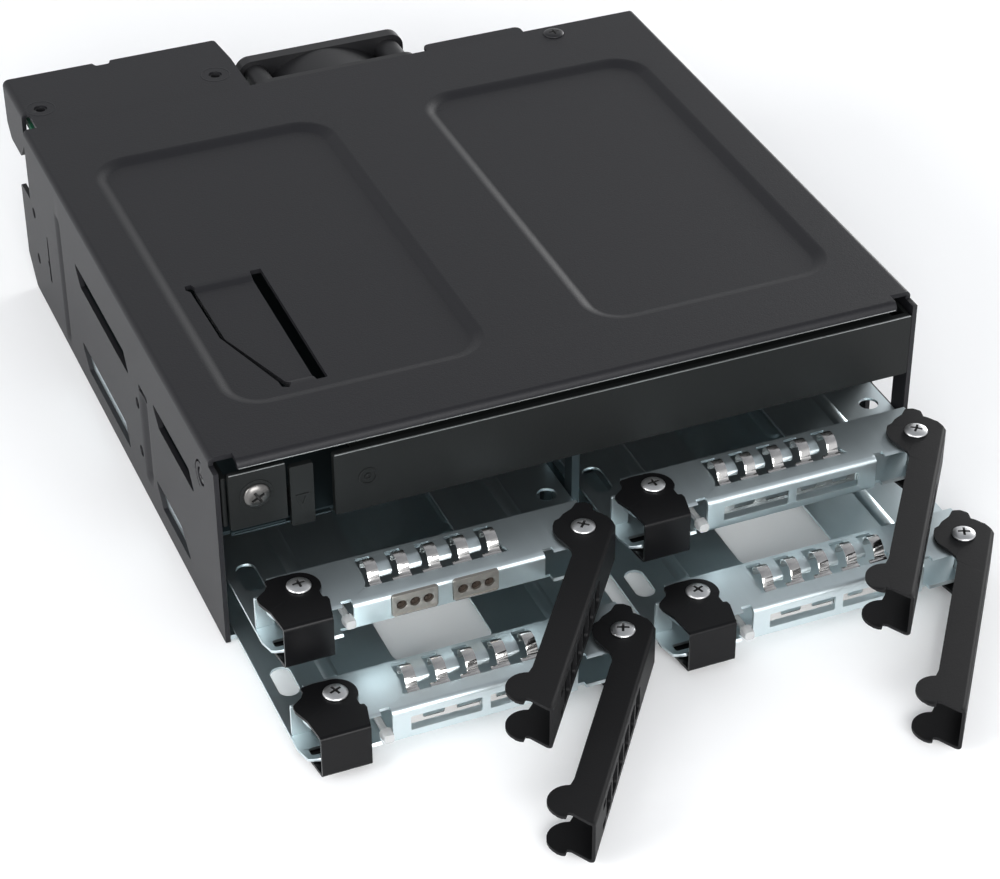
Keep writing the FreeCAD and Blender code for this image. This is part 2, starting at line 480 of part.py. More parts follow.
node("fan_rotor", rotor)
fan_pins = [fuse(rod(2.7, cx, FAN1, cz, 1.5, "y"), rod("fan_screw_r", cx, f"{FAN0}-skin-0.6", cz, "fan_t+skin+1", "y"))
            for cx, cz in FAN_EYES]
bundle = fresh("Part::Compound", "pins")
bundle.Links = fan_pins
node("fan_screws", bundle)

# ---------------------------------------------------------------- rear bracket over the optical board
EDGE = "cage_d+bracket_out"
plate = box(BR0, BR1, back("cage_d-bracket_tuck"), back(EDGE), f"{TOP_UNDER}-1", TOP_UNDER)
FLAP = f"({TOP_UNDER}-flap_h)"
flap = outline([(back("cage_d+1"), f"{TOP_UNDER}-1"), (back("cage_d+1"), FLAP), (back(f"{EDGE}-7"), FLAP),
                (back(f"{EDGE}-3"), f"{FLAP}+2"), (back(EDGE), f"{FLAP}+6"), (back(EDGE), f"{TOP_UNDER}-1")],
               BR0, f"{BR0}+1", "yz")
STUDS = [(f"({BR0}+bracket_hole_in)", back("cage_d+bracket_hole_y")),
         (f"({BR1}-bracket_hole_in-1)", back("cage_d+bracket_hole_y"))]
drills = [rod("bracket_screw_r+0.1", x, y, f"{TOP_UNDER}-2", 4) for x, y in STUDS]
drills.append(box(f"{BR0}+20.4", f"{BR0}+23.4", back(f"{EDGE}-1.4"), back(f"{EDGE}+1"), f"{TOP_UNDER}-2", "cage_h"))
node("rear_bracket", cut(fuse(plate, flap), *drills))
BOARD = f"({TOP_UNDER}-odd_drop)"
G0, G1 = f"({BR0}+1.6)", f"({BR0}+1.6+odd_inset)"
node("odd_board", cut(box(G0, G1, back("cage_d-22"), back(f"{EDGE}-3"), BOARD, f"{BOARD}+board_t"),
                      *[rod("bracket_screw_r+0.1", x, y, f"{BOARD}-1", 4) for x, y in STUDS]))
studs = [fuse(rod(2.6, x, y, TOP_UNDER, 0.5), rod("bracket_screw_r", x, y, f"{BOARD}-0.8", "odd_drop+1.2"),
              rod(2.4, x, y, f"{BOARD}+board_t", "odd_drop-board_t-1"))
         for x, y in STUDS]
bundle = fresh("Part::Compound", "studs")
bundle.Links = studs
node("bracket_screws", bundle)
node("odd_connector", cut(box(f"{G0}+7.4", f"{G1}-10", back("cage_d-27"), back("cage_d-19.5"), f"{BOARD}-5.4", BOARD),
                          box(f"{G0}+9.4", f"{G1}-12", back("cage_d-28"), back("cage_d-22"),
                              f"{BOARD}-3.6", f"{BOARD}-2")))
MOUTHS = [(f"{G0}+11.4", f"{G0}+23.4"), (f"{G0}+25.4", f"{G0}+33.4")]
node("odd_ports", cut(box(f"{G0}+9.4", f"{G0}+35.4", back(f"{EDGE}-14"), back(f"{EDGE}-2"), f"{BOARD}-6.4", BOARD),
                      *[box(a, b, back(f"{EDGE}-10"), back(f"{EDGE}-1"), f"{BOARD}-4.6", f"{BOARD}-2.2")
                        for a, b in MOUTHS]))
node("cover_screw", fuse(rod(2.4, *COVER_SCREW, "cage_h", 0.6),
                         rod("cover_screw_r", *COVER_SCREW, "cage_h-4", 4)))
side_screws = fresh("Part::Compound", "sides")
side_screws.Links = [fuse(rod("side_head_r", x0, back("side_screw_y"), "side_screw_z", 0.6, "x"),
                          rod("side_shank_r", x1, back("side_screw_y"), "side_screw_z", 3, "x"))
                     for x0, x1 in ((f"-{HALF}", f"-{HALF}"), (f"{HALF}-0.6", f"{HALF}-3"))]
node("side_screws", side_screws)

# ---------------------------------------------------------------- one tray, drawn once about its own origin
LOW, HIGH = "(-sheet-run_gap)", "(bar_h+sheet+run_gap)"      # outer levels of latch and lever


def tray(clips):
    """Folded tray.  clips picks the lip with two fitted inserts instead of two plain windows."""
    # Both right front corners are cut back to stay inside the sweep of the lever's web.
    nose = [("-tray_half", 4.6), ("-tray_half+1", 1.4), ("-tray_half+3.2", 0), ("pivot_x+2.3", 0),
            ("pivot_x+3.5", "pivot_y-2.9"), ("pivot_x+4.3", "pivot_y-1.6"), ("pivot_x+4.6", "pivot_y"),
            ("pivot_x+4.7", "pivot_y+0.4"), ("tray_half", "pivot_y+0.7")]
    base = outline(nose + [("tray_half", "tray_len"), ("-tray_half", "tray_len")], 0, "sheet")
    top = outline(nose + [("tray_half", "bar_d"), ("-tray_half", "bar_d")], "bar_h-sheet", "bar_h")
    lip = box("-lip_half", "lip_half", 0, "sheet", 0, "bar_h")
    ear = box("-tray_half", "-tray_half+sheet", 8.6, 13.4, 0, "bar_h")
    ear2 = box("tray_half-sheet", "tray_half", 9.4, 13.4, 0, "bar_h")
    ribs = [box(f"{x}-1.6", f"{x}+1.6", 18, "tray_len-6", "sheet", "sheet+0.35") for x in (-22.5, 22.5, -14.5, 14.5)]
    solid = fuse(base, top, lip, ear, ear2, *ribs)
    away = [box(-15, 15, 3.8, 10.2, "bar_h-sheet-1", "bar_h+1")]
    away += [box(f"{i}*finger_pitch-finger_w/2-0.35", f"{i}*finger_pitch+finger_w/2+0.35", 10, 13.4,
                 "bar_h-sheet-1", "bar_h+1") for i in range(-2, 3)]
    for x, y in (("-latch_x", "latch_y"), ("pivot_x", "pivot_y")):
        away.append(rod("shank_r+run_fit", x, y, -1, "bar_h+2"))
    lips = ((-11.2, -2.3), (0.7, 9.4)) if clips else ((-14.5, -1.2), (1.0, 14.2))
    z0, z1 = ("bar_h/2-2.6", "bar_h/2+2.6") if clips else ("bar_h/2-1.2", "bar_h/2+1.6")
    away += [box(a, b, -1, "sheet+1", z0, z1) for a, b in lips]
    away.append(pill("-10", "10", "19.5", "52", -1, "sheet+2", 3))
    away.append(box(-33.1, -27.5, 2.1, 4.1, -1, "sheet+1"))
    away += [rod("drive_hole_r", f"{s}*drive_hole_x", f"drive_hole_y+{k}*drive_hole_gap", -1, "sheet+2")
             for s in (-1, 1) for k in (0, 1)]
    for s in (-1, 1):
        away.append(box(f"{s}*(lip_half+0.8)-0.8", f"{s}*(lip_half+0.8)+0.8", -1, 1.4, "bar_h-sheet-1", "bar_h+1"))
    return cut(solid, *away)


trays = {False: tray(False), True: tray(True)}

# Spring strip: one foot behind the lip and a row of arched fingers through the window.
foot = fuse(box(-14.8, 14.8, "sheet", "sheet+0.25", "sheet", "bar_h-sheet"),
            box(-14.8, 14.8, "sheet+0.25", 4.2, "bar_h-sheet-0.25", "bar_h-sheet"))
arch = [(3.9, "bar_h-sheet-0.25"), (5.6, "bar_h-sheet+0.3"), (7.6, "bar_h+0.7"), (9.6, "bar_h+1.6"),
        (11.3, "bar_h+1.75"), (12.4, "bar_h+1.2"), (12.9, "bar_h-0.2"), (12.6, "bar_h-0.2"),
        (12.1, "bar_h+1.0"), (11.2, "bar_h+1.45"), (9.7, "bar_h+1.3"), (7.8, "bar_h+0.4"),
        (5.8, "bar_h-sheet+0.55-0.5"), (4.0, "bar_h-sheet-0.5")]
fingers = [outline(arch, f"{i}*finger_pitch-finger_w/2", f"{i}*finger_pitch+finger_w/2", "yz")
           for i in range(-2, 3)]
strip = fuse(foot, *fingers)

# Latch and lever start as a full-height block of their outline, then the middle is hollowed.
latch_lines = [("-6.8", "-latch_face"), ("2.6", "-latch_face"), ("3.7", "-latch_face+5.1"), ("3.7", "-4.5"),
               ("3.0", "-4.5"), ("3.0", "-2"), ("0", "0"), ("-1", "latch_r"), ("-5.6", "latch_r-0.5"),
               ("-5.3", "2.4"), ("-6.2", "1.3"), ("-8.4", "-0.2"), ("-8.4", "-1.7"), ("-7.3", "-5")]
latch = fuse(outline(latch_lines, LOW, HIGH), rod("latch_r", 0, 0, LOW, f"{HIGH}-{LOW}"))
latch = cut(latch, box(-12, 12, "-latch_face+sheet", 12, "-run_gap", "bar_h+run_gap"),
            rod("shank_r+run_fit", 0, 0, -3, "bar_h+6"))

lever_lines = [("-2.4", "lever_v"), ("-4.6", "3.5"), ("0", "0"), ("6.9", "-0.9"), ("8", "-0.3"),
               ("ear_u-4.1", "-0.3"), ("ear_u", "-0.3"), ("ear_u+2.1", "0.2-ear_r+0.55"),
               ("ear_u+4.05", "-0.3"), ("ear_u+4.05", "0.3"), ("ear_u+2.9", "0.3"), ("ear_u+2.9", "1.2"),
               ("lever_len", "lever_v")]
tooth = [("-3.2", "-4.6"), ("-5.4", "-3.4"), ("-7.4", "-2.9"), ("-7.7", "-1.5"), ("-7.3", "0.1"),
         ("-5.6", "0.8"), ("-3", "1")]
lever = fuse(outline([p for p in reversed(lever_lines)], LOW, HIGH), rod("head_r", 0, 0, LOW, f"{HIGH}-{LOW}"),
             rod("ear_r", "ear_u", 0.2, LOW, f"{HIGH}-{LOW}"), outline(tooth, LOW, HIGH),
             outline([("2", "-4"), ("5.4", "-2.4"), ("6.9", "-0.9"), ("6.9", "1"), ("2", "1")], LOW, HIGH))
lever = cut(lever, box(-12, 60, -12, "lever_v-sheet", "-run_gap", "bar_h+run_gap"),
            box(-12, "-2.4", "lever_v-sheet", "lever_v+1", "-run_gap", "bar_h+run_gap"),
            rod("shank_r+run_fit", 0, 0, -3, "bar_h+6"),
            *[box(f"12+{i}*vent_n_pitch", f"12+{i}*vent_n_pitch+vent_len", "lever_v-sheet-1", "lever_v+1",
                  "bar_h/2-2.6", "bar_h/2+2.6") for i in range(6)])
lever_shape = lever

screw = fuse(rod("screw_r", 0, 0, f"{HIGH}+0.1", "screw_head"),
             rod("shank_r", 0, 0, f"{LOW}", f"{HIGH}-{LOW}+0.2"))

pipe = fuse(box(-21.2, -18.8, -0.8, 1.2, 0.9, 3.2), box(-20.6, -19.4, 1.2, 12, 1.5, 2.7),
            box(-20.6, -19.4, 6, 12, "sheet", 1.5))


for tag, x, out, z in TRAYS:
    lip = f"{FRONT}-{out}"
    node(f"tray_{tag}", trays[tag == "ul"], x, lip, z)
    node(f"finger_strip_{tag}", strip, x, lip, z)
    node(f"light_pipe_{tag}", pipe, x, lip, z)
    node(f"latch_{tag}", latch, f"{x}-latch_x", f"{lip}+latch_y", z)
    node(f"latch_screw_{tag}", screw, f"{x}-latch_x", f"{lip}+latch_y", z)
    # The lever is drawn along +X; closed it points along -X.
    node(f"lever_{tag}", lever_shape, f"{x}+pivot_x", f"{lip}+pivot_y", z, "180+lever_open")
    node(f"lever_screw_{tag}", screw, f"{x}+pivot_x", f"{lip}+pivot_y", z)
pair = fresh("Part::Compound", "pair")
pair.Links = [box(x, f"{x}+8.3", -0.5, "sheet", "bar_h/2-2.4", "bar_h/2+2.4") for x in (-10.9, 0.9)]
node("clip_inserts_ul", pair, f"-{BAY}", f"{FRONT}-out_ul", "tray_low+tray_pitch")

# ---------------------------------------------------------------- check and write
doc.recompute()
for thing in doc.Objects:
    if any(word in thing.State for word in ("Invalid", "Error")):
        raise RuntimeError(f"{thing.Name} {thing.Label}: {thing.State}")
for thing in nodes:
    if thing.Shape.isNull() or not thing.Shape.isValid() or thing.Shape.Volume <= 0:
        raise RuntimeError(f"{thing.Label} has no valid solid")
    thing.Shape.exportStep(f"parts/{thing.Label}.step")
print(len(nodes), "nodes written")
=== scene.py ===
import bpy, bmesh, math, json
from mathutils import Vector, Matrix

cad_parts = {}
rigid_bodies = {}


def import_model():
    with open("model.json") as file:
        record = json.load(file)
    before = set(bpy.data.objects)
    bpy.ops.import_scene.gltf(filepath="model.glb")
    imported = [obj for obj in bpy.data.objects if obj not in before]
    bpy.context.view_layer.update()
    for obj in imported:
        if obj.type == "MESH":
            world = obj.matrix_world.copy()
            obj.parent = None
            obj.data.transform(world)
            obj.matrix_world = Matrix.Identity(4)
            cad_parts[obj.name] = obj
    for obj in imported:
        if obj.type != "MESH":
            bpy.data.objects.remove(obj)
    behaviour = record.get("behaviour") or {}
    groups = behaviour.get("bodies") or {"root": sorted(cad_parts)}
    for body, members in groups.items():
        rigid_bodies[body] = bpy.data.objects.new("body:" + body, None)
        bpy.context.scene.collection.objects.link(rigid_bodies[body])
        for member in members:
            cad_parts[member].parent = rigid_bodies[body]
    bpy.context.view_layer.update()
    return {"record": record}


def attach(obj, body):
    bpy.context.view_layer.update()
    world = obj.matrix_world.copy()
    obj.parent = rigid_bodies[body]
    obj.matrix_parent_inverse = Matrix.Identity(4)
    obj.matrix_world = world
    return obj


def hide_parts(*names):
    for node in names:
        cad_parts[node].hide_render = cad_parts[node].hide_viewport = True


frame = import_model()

MM = 0.001
FRONT = -0.067                      # the cage's front plane, in metres
Y0 = FRONT / MM                     # and in millimetres
TRAYS = ("ul", "ur", "ll", "lr")    # upper and lower, left and right


# ------------ camera and light
# A long lens on the front left corner, above the cover.  Three large soft lights stand at the
# left, in front and at the far right, under a sky that is brightest at the horizon.
AZIMUTH, ELEVATION, ROLL = math.radians(-22.477), math.radians(35.734), math.radians(-0.203)
FAR = 0.55536
TARGET = Vector((-0.0102, FRONT + 0.01526, 0.020))


def placed(name, data):
    """A new object in the scene."""
    obj = bpy.data.objects.new(name, data)
    bpy.context.scene.collection.objects.link(obj)
    return obj


def aim(obj, target, roll=0.0):
    turn = (Vector(target) - obj.location).to_track_quat("-Z", "Y")
    obj.rotation_mode = "QUATERNION"
    obj.rotation_quaternion = turn @ Matrix.Rotation(roll, 3, "Z").to_quaternion()


def area(name, place, size, power):
    lamp = bpy.data.lights.new(name, "AREA")
    lamp.shape, lamp.size, lamp.size_y, lamp.energy = "RECTANGLE", size[0], size[1], power
    obj = placed(name, lamp)
    obj.location = place
    aim(obj, (0, 0, 0.02))


camera = placed("camera", bpy.data.cameras.new("camera"))
camera.data.lens, camera.data.sensor_width = 101.59, 36.0
camera.data.clip_start, camera.data.clip_end = 0.01, 20
camera.location = TARGET + FAR * Vector((math.sin(AZIMUTH) * math.cos(ELEVATION),
                                         -math.cos(AZIMUTH) * math.cos(ELEVATION), math.sin(ELEVATION)))
aim(camera, TARGET, ROLL)
bpy.context.scene.camera = camera
area("key_right", (1.30, 0.80, 0.36), (0.6, 0.4), 11)
area("fill_left", (-1.3, -0.2, 0.55), (0.8, 0.7), 11)
area("fill_front", (-0.2, -1.35, 0.60), (1.2, 0.7), 21)
world = bpy.data.worlds.new("studio")
bpy.context.scene.world = world
world.use_nodes = True
sky = world.node_tree
way = sky.nodes.new("ShaderNodeTexCoord")
height = sky.nodes.new("ShaderNodeSeparateXYZ")
shade = sky.nodes.new("ShaderNodeValToRGB")
sky.links.new(way.outputs["Generated"], height.inputs[0])
sky.links.new(height.outputs["Z"], shade.inputs["Fac"])
sky.links.new(shade.outputs["Color"], sky.nodes["Background"].inputs["Color"])
shade.color_ramp.elements[0].color = (0.97, 0.98, 1.0, 1)
shade.color_ramp.elements[1].color = (0.30, 0.31, 0.33, 1)
sky.nodes["Background"].inputs["Strength"].default_value = 1.0
bpy.context.scene.view_settings.view_transform = "Standard"


# ------------ materials
# Each one is a shader with its own grain, blotch, roughness and bump from Object coordinates.
# span is how far its colour swings to each side, and spread is the same for its roughness.
def material(name, colour, metal, rough, grain=0.0, scale=900.0, bump=0.0, blotch=0.0, stretch=(1, 1, 1),
             coat=0.0, spec=0.5, transmission=0.0, spread=0.06, span=0.55):
    mat = bpy.data.materials.new(name)
    mat.use_nodes = True
    nt = mat.node_tree
    link = nt.links.new
    ins = nt.nodes["Principled BSDF"].inputs
    ins["Metallic"].default_value = metal
    ins["Coat Weight"].default_value = coat
    ins["Coat Roughness"].default_value = 0.15
    ins["Specular IOR Level"].default_value = spec
    ins["Transmission Weight"].default_value = transmission

    def add(kind, **values):
        n = nt.nodes.new(kind)
        for key, value in values.items():
            if key in n.inputs:
                n.inputs[key].default_value = value
            else:
                setattr(n, key, value)
        return n

    place = add("ShaderNodeTexCoord")
    fit = add("ShaderNodeMapping", Scale=stretch)
    link(place.outputs["Object"], fit.inputs["Vector"])
    fine = add("ShaderNodeTexNoise", Scale=scale, Detail=6.0, Roughness=0.6)
    broad = add("ShaderNodeTexNoise", Scale=22.0, Detail=3.0)
    link(fit.outputs[0], fine.inputs["Vector"])
    link(place.outputs["Object"], broad.inputs["Vector"])
    both = add("ShaderNodeMath", operation="MULTIPLY_ADD")
    link(fine.outputs["Fac"], both.inputs[0])
    both.inputs[1].default_value = grain
    soft = add("ShaderNodeMath", operation="MULTIPLY_ADD")
    link(broad.outputs["Fac"], soft.inputs[0])
    soft.inputs[1].default_value = blotch
    soft.inputs[2].default_value = 0.5 - blotch / 2 - grain / 2
    link(soft.outputs[0], both.inputs[2])
    ramp = add("ShaderNodeValToRGB")
    ramp.color_ramp.elements[0].color = [c * (1 - span) for c in colour] + [1]
    ramp.color_ramp.elements[1].color = [min(1, c * (1 + span)) for c in colour] + [1]
    link(both.outputs[0], ramp.inputs["Fac"])
    link(ramp.outputs["Color"], ins["Base Color"])
    wear = add("ShaderNodeMapRange", **{"To Min": max(0.02, rough - spread), "To Max": rough + spread})
    link(both.outputs[0], wear.inputs["Value"])
    link(wear.outputs[0], ins["Roughness"])
    if bump:
        relief = add("ShaderNodeBump", Strength=bump, Distance=0.00012)
        link(fine.outputs["Fac"], relief.inputs["Height"])
        link(relief.outputs[0], ins["Normal"])
    return mat


ROLLED = (1, 0.06, 1)                # the grain of rolled sheet runs from front to rear
M = {
    "cover": material("cover_paint", (0.0085, 0.0085, 0.0105), 0.0, 0.52, 0.35, 2600, 0.35, 0.12, spec=0.32),
    "bezel": material("bezel_paint", (0.008, 0.009, 0.009), 0.0, 0.45, 0.25, 2200, 0.2, 0.1, spec=0.20),
    # the shelf: painted shade, near black for the shade inside the optical bay
    "shelf": material("shelf_painted_shade", (0.012, 0.020, 0.023), 0.0, 0.6, 0.25, 1800, 0.1, 0.1, spec=0.2),
    "zinc": material("zinc_sheet", (0.69, 0.78, 0.805), 1.0, 0.38, 0.3, 700, 0.05, 0.6, ROLLED, span=0.13),
    # the divider: painted shade, a darkened copy of the zinc
    "divider": material("divider_zinc_painted_shade", (0.10, 0.13, 0.14), 1.0, 0.42, 0.12, 700, 0.05, 0.3, ROLLED),
    # painted highlight for edges that catch the light
    "edge_highlight": material("painted_edge_highlight", (0.30, 0.31, 0.31), 0.8, 0.35, 0.4, 900, 0.1, 0.4),
    "latch": material("latch_paint", (0.0035, 0.0035, 0.004), 0.0, 0.32, 0.25, 2400, 0.1, 0.1, spec=0.20),
    "lever": material("lever_paint", (0.0035, 0.0035, 0.004), 0.0, 0.55, 0.25, 2400, 0.2, 0.1, spec=0.22),
    "nickel": material("nickel_spring", (0.78, 0.73, 0.66), 1.0, 0.16, 0.1, 900, 0.02, 0.2),
    "screw": material("screw_zinc", (0.78, 0.81, 0.82), 1.0, 0.36, 0.15, 1500, 0.05, 0.2),
    "old_nickel": material("nickel_dark", (0.15, 0.145, 0.14), 1.0, 0.32, 0.2, 1500, 0.1, 0.2),
    # painted shade inside the screws' cross recesses
    "recess": material("screw_recess_painted_shade", (0.03, 0.03, 0.03), 0.6, 0.5, 0.2, 1500, 0.1, 0.2),
    "dark_screw": material("screw_black", (0.02, 0.02, 0.022), 0.3, 0.4, 0.2, 1500, 0.1, 0.1, spec=0.4),
    "plastic": material("black_plastic", (0.008, 0.008, 0.009), 0.0, 0.45, 0.3, 1800, 0.15, 0.1, spec=0.4),
    "board": material("board_green", (0.012, 0.10, 0.05), 0.0, 0.35, 0.2, 1200, 0.05, 0.3, coat=0.4),
    "clear": material("clear_plastic", (0.88, 0.92, 0.92), 0.0, 0.14, 0.1, 400, 0.1, 0.2, transmission=0.4),
    "bronze": material("clip_bronze", (0.40, 0.38, 0.35), 0.9, 0.38, 0.2, 1500, 0.1, 0.2),
    "pocket": material("clip_pocket", (0.045, 0.032, 0.024), 0.5, 0.45, 0.3, 1500, 0.1, 0.3),
    "gold": material("contact_gold", (0.75, 0.55, 0.22), 1.0, 0.25, 0.1, 900, 0.02, 0.1),
    "led": material("led_lens", (0.75, 0.82, 0.85), 0.0, 0.2, 0.1, 900, 0.02, 0.1, coat=0.5),
}


# ------------ the CAD nodes that stay
# Every node gets the material of its slot, and later sections replace most of them.  The shelf
# and the divider lie in the cage's shade; their colours, far darker than zinc, are painted shade.
SLOTS = {"painted_steel": "cover", "zinc_steel": "zinc", "black_lever": "lever", "nickel": "nickel",
         "screw_zinc": "screw", "black_screw": "dark_screw", "bezel_steel": "bezel", "led": "led",
         "black_plastic": "plastic", "board_green": "board", "clear_plastic": "clear",
         "clip_bronze": "bronze"}
for row in frame["record"]["subparts"]:
    obj = bpy.data.objects[row["node"]]
    for slot in obj.material_slots or [None]:
        if slot is None:
            obj.data.materials.append(M[SLOTS[row["material_slot"]]])
        else:
            slot.material = M[SLOTS[row["material_slot"]]]
# painted shade on the shelf and the divider
bpy.data.objects["odd_shelf"].material_slots[0].material = M["shelf"]
bpy.data.objects["centre_divider"].material_slots[0].material = M["divider"]


# ------------ top cover
# Sheet pieces are drawn flat in millimetres, cut along their bend lines, folded round a filleted
# profile and given their thickness.  The cover is one sheet: wall, top, wall.  Two pans are
# pressed into its top, and the left pan carries the bridge that holds an optical drive down.
def turn_arc(cx, cy, r, a0, a1, n=12):
    steps = [math.radians(a0 + (a1 - a0) * i / n) for i in range(n + 1)]
    return [(cx + r * math.cos(a), cy + r * math.sin(a)) for a in steps]


def ring(cx, cy, r, n=32):
    return turn_arc(cx, cy, r, 0, 360, n)[:-1]


def rounded(points, radius=0.0, n=5):
    """A closed outline with arcs at its corners.  A point may carry its own radius."""
    out = []
    for i, p in enumerate(points):
        r = p[2] if len(p) > 2 else radius
        c, a, b = Vector(p[:2]), Vector(points[i - 1][:2]), Vector(points[(i + 1) % len(points)][:2])
        u, v = (a - c), (b - c)
        half = u.angle(v) / 2
        if r <= 0 or abs(half - math.pi / 2) < 0.01:
            out.append(tuple(c))
            continue
        reach = min(r / math.tan(half), 0.48 * u.length, 0.48 * v.length)
        r = reach * math.tan(half)
        u, v = u.normalized(), v.normalized()
        centre = c + (u + v).normalized() * (r / math.sin(half))
        a0, a1 = [math.atan2(q.y - centre.y, q.x - centre.x) for q in (c + u * reach, c + v * reach)]
        turn = (a1 - a0 + math.pi) % (2 * math.pi) - math.pi
        out += [(centre.x + r * math.cos(a0 + turn * k / n), centre.y + r * math.sin(a0 + turn * k / n))
                for k in range(n + 1)]
    return out


def rect(x0, x1, y0, y1, r=0.0, n=5):
    return rounded([(x0, y0), (x1, y0), (x1, y1), (x0, y1)], r, n)


def cut(bm, cuts):
    """Splits a flat sheet along (axis, place) lines."""
    for axis, at in cuts:
        bmesh.ops.bisect_plane(bm, geom=bm.verts[:] + bm.edges[:] + bm.faces[:], dist=1e-5,
                               plane_co=(at, at, 0), plane_no=(1, 0, 0) if axis == "u" else (0, 1, 0))


def flat(regions, cuts=()):
    """Filled sheets, each an outline and its holes, split along the cuts."""
    bm = bmesh.new()
    for outer, holes in regions:
        edges = []
        for loop in (outer, *holes):
            verts = [bm.verts.new((x, y, 0)) for x, y in loop]
            edges += [bm.edges.new((verts[i - 1], verts[i])) for i in range(len(verts))]
        bmesh.ops.triangle_fill(bm, use_beauty=True, use_dissolve=False, edges=edges, normal=(0, 0, 1))
    bmesh.ops.remove_doubles(bm, verts=bm.verts, dist=1e-4)
    cut(bm, cuts)
    bmesh.ops.recalc_face_normals(bm, faces=bm.faces)
    return bm


def fold(points, reach, n=5):
    """Place and cut lines along a profile, whose corners are arcs that start reach before them."""
    points = [Vector(p) for p in points]
    marks = [0.0]
    for a, b in zip(points, points[1:]):
        marks.append(marks[-1] + (b - a).length)

    def place(t):
        k = max(i for i in range(len(marks) - 1) if i == 0 or t >= marks[i])
        for c in (k, k + 1):
            if 0 < c < len(points) - 1 and abs(t - marks[c]) < reach:
                d1, d2 = (points[c] - points[c - 1]).normalized(), (points[c + 1] - points[c]).normalized()
                bend = d1.angle_signed(d2)
                r = reach / math.tan(abs(bend) / 2)
                side = -1 if bend > 0 else 1
                normal = Vector((-d1.y, d1.x)) * side
                centre = points[c] - d1 * reach + normal * r
                f = (t - (marks[c] - reach)) / (2 * reach) * abs(bend) * side
                arm = -normal * r
                return centre + Vector((arm.x * math.cos(f) - arm.y * math.sin(f),
                                        arm.x * math.sin(f) + arm.y * math.cos(f)))
        d = (points[k + 1] - points[k]).normalized()
        return points[k] + d * (t - marks[k])

    lines = [marks[c] + reach * (2 * i / n - 1) for c in range(1, len(points) - 1) for i in range(n + 1)]
    return place, lines, marks


def bake(obj):
    seen = bpy.context.evaluated_depsgraph_get()
    made = bpy.data.meshes.new_from_object(obj.evaluated_get(seen), preserve_all_data_layers=True,
                                           depsgraph=seen)
    old, obj.data = obj.data, made
    obj.modifiers.clear()
    bpy.data.meshes.remove(old)
    return made


def piece(obj, body, nodes):
    """Says which body the object moves with, which nodes it stands for."""
    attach(obj, body)
    if nodes:
        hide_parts(*nodes)
    return obj


def finish(name, bm, mat, body, nodes, slot, thick=0.0, edge=0.08, move=None, smooth=35):
    """Gives a sheet its thickness and soft edges, bakes it in metres and makes it a piece."""
    mesh = bpy.data.meshes.new(name)
    mesh.materials.append(M[mat])
    # faces marked inside a screw's cross get the recess's painted shade
    if any(face.material_index for face in bm.faces):
        mesh.materials.append(M["recess"])
    bm.to_mesh(mesh)
    bm.free()
    mesh.transform(Matrix.Scale(MM, 4) @ (move or Matrix()))
    obj = placed(name, mesh)
    if thick:
        solid = obj.modifiers.new("sheet", "SOLIDIFY")
        solid.thickness, solid.offset, solid.use_even_offset = thick * MM, 0, True
    if edge:
        soft = obj.modifiers.new("edge", "BEVEL")
        soft.width, soft.segments = edge * MM, 2
        soft.limit_method, soft.angle_limit = "ANGLE", math.radians(40)
    mesh = bake(obj)
    mesh.shade_smooth()
    mesh.set_sharp_from_angle(angle=math.radians(smooth))
    even = obj.modifiers.new("normals", "WEIGHTED_NORMAL")
    even.keep_sharp = True
    bake(obj).name = name
    return piece(obj, body, nodes)


WALL, HALF = 40.8, 72.5             # mid sheet height and half width of the cover
SPAN = 2 * (WALL + HALF)            # its flat width
BAY_HOLE = 1.25                     # radius


def left_wall(points):
    """Outline on the left wall, given as (distance back, height)."""
    return [(z, y) for y, z in points]


def right_wall(points):
    return [(SPAN - z, y) for y, z in points]


def top(points):
    return [(WALL + HALF + x, y) for x, y in points]


outer = [(0, 0), (39.6, 0), (39.6, 3.0), (45.0, 3.0), (45.0, -0.35), (181.6, -0.35), (181.6, 3.0),
         (187.0, 3.0), (187.0, 0), (226.6, 0), (226.6, 136.6, 1), (220.6, 142, 1), (202.6, 142, 1),
         (202.6, 134.2), (24, 134.2), (24, 142, 1), (6, 142, 1), (0, 136.6, 1)]
SLANTS = [[(57.5, 25.2), (60.5, 29.4), (97, 29.4), (93, 25.2)],
          [(61.5, 4.4), (64, 9.6), (97, 9.6), (92.5, 4.4)],
          [(14, 25.6), (17, 29.6), (41, 29.6), (37, 25.6)],
          [(20, 4.6), (26, 9.6), (43, 9.6), (39, 4.6)]]
HOOK = [(120.4, 10), (121.8, 10), (121.8, 13.4), (122.6, 14.4), (121.8, 15.4), (121.4, 21.6), (120.8, 21.6),
        (120.6, 15)]
WALL_SCREW = (8.5, 33.6)            # distance back and height
COVER_SCREW = (51.2, 130.6)         # x and distance back
holes = []
for on_wall in (left_wall, right_wall):
    holes += [on_wall(rounded(s, 0.6, 3)) for s in SLANTS]
    holes += [on_wall(ring(y, z, BAY_HOLE, 20)) for y in (52.5, 131.75) for z in (10.0, 21.8)]
    holes.append(on_wall(ring(*WALL_SCREW, 1.96, 24)))
    holes.append(on_wall(turn_arc(*WALL_SCREW, 3.35, -70, 95, 16) + turn_arc(*WALL_SCREW, 2.95, 95, -70, 16)))
    holes.append(on_wall(rounded([(44.6, 26.4), (50.6, 26.4), (50.2, 27.9), (44.8, 27.9)], 0.5, 3)))
    holes.append(on_wall(rounded(HOOK, 0.3, 3)))
holes += [right_wall(rect(4.9, 14.6, z - 1.3, z + 8.8, 0.5, 3)) for z in (2.2, 13.2)]
holes.append(top(ring(*COVER_SCREW, 1.6, 20)))
PANS = [(-64.5, -10.3), (10.3, 64.5)]
PAN_FRONT, PAN_REAR, PAN_R = 15.4, 115, 8.6
PAN_DEEP, PAN_SLOPE = 1.0, 3.0
steps = []
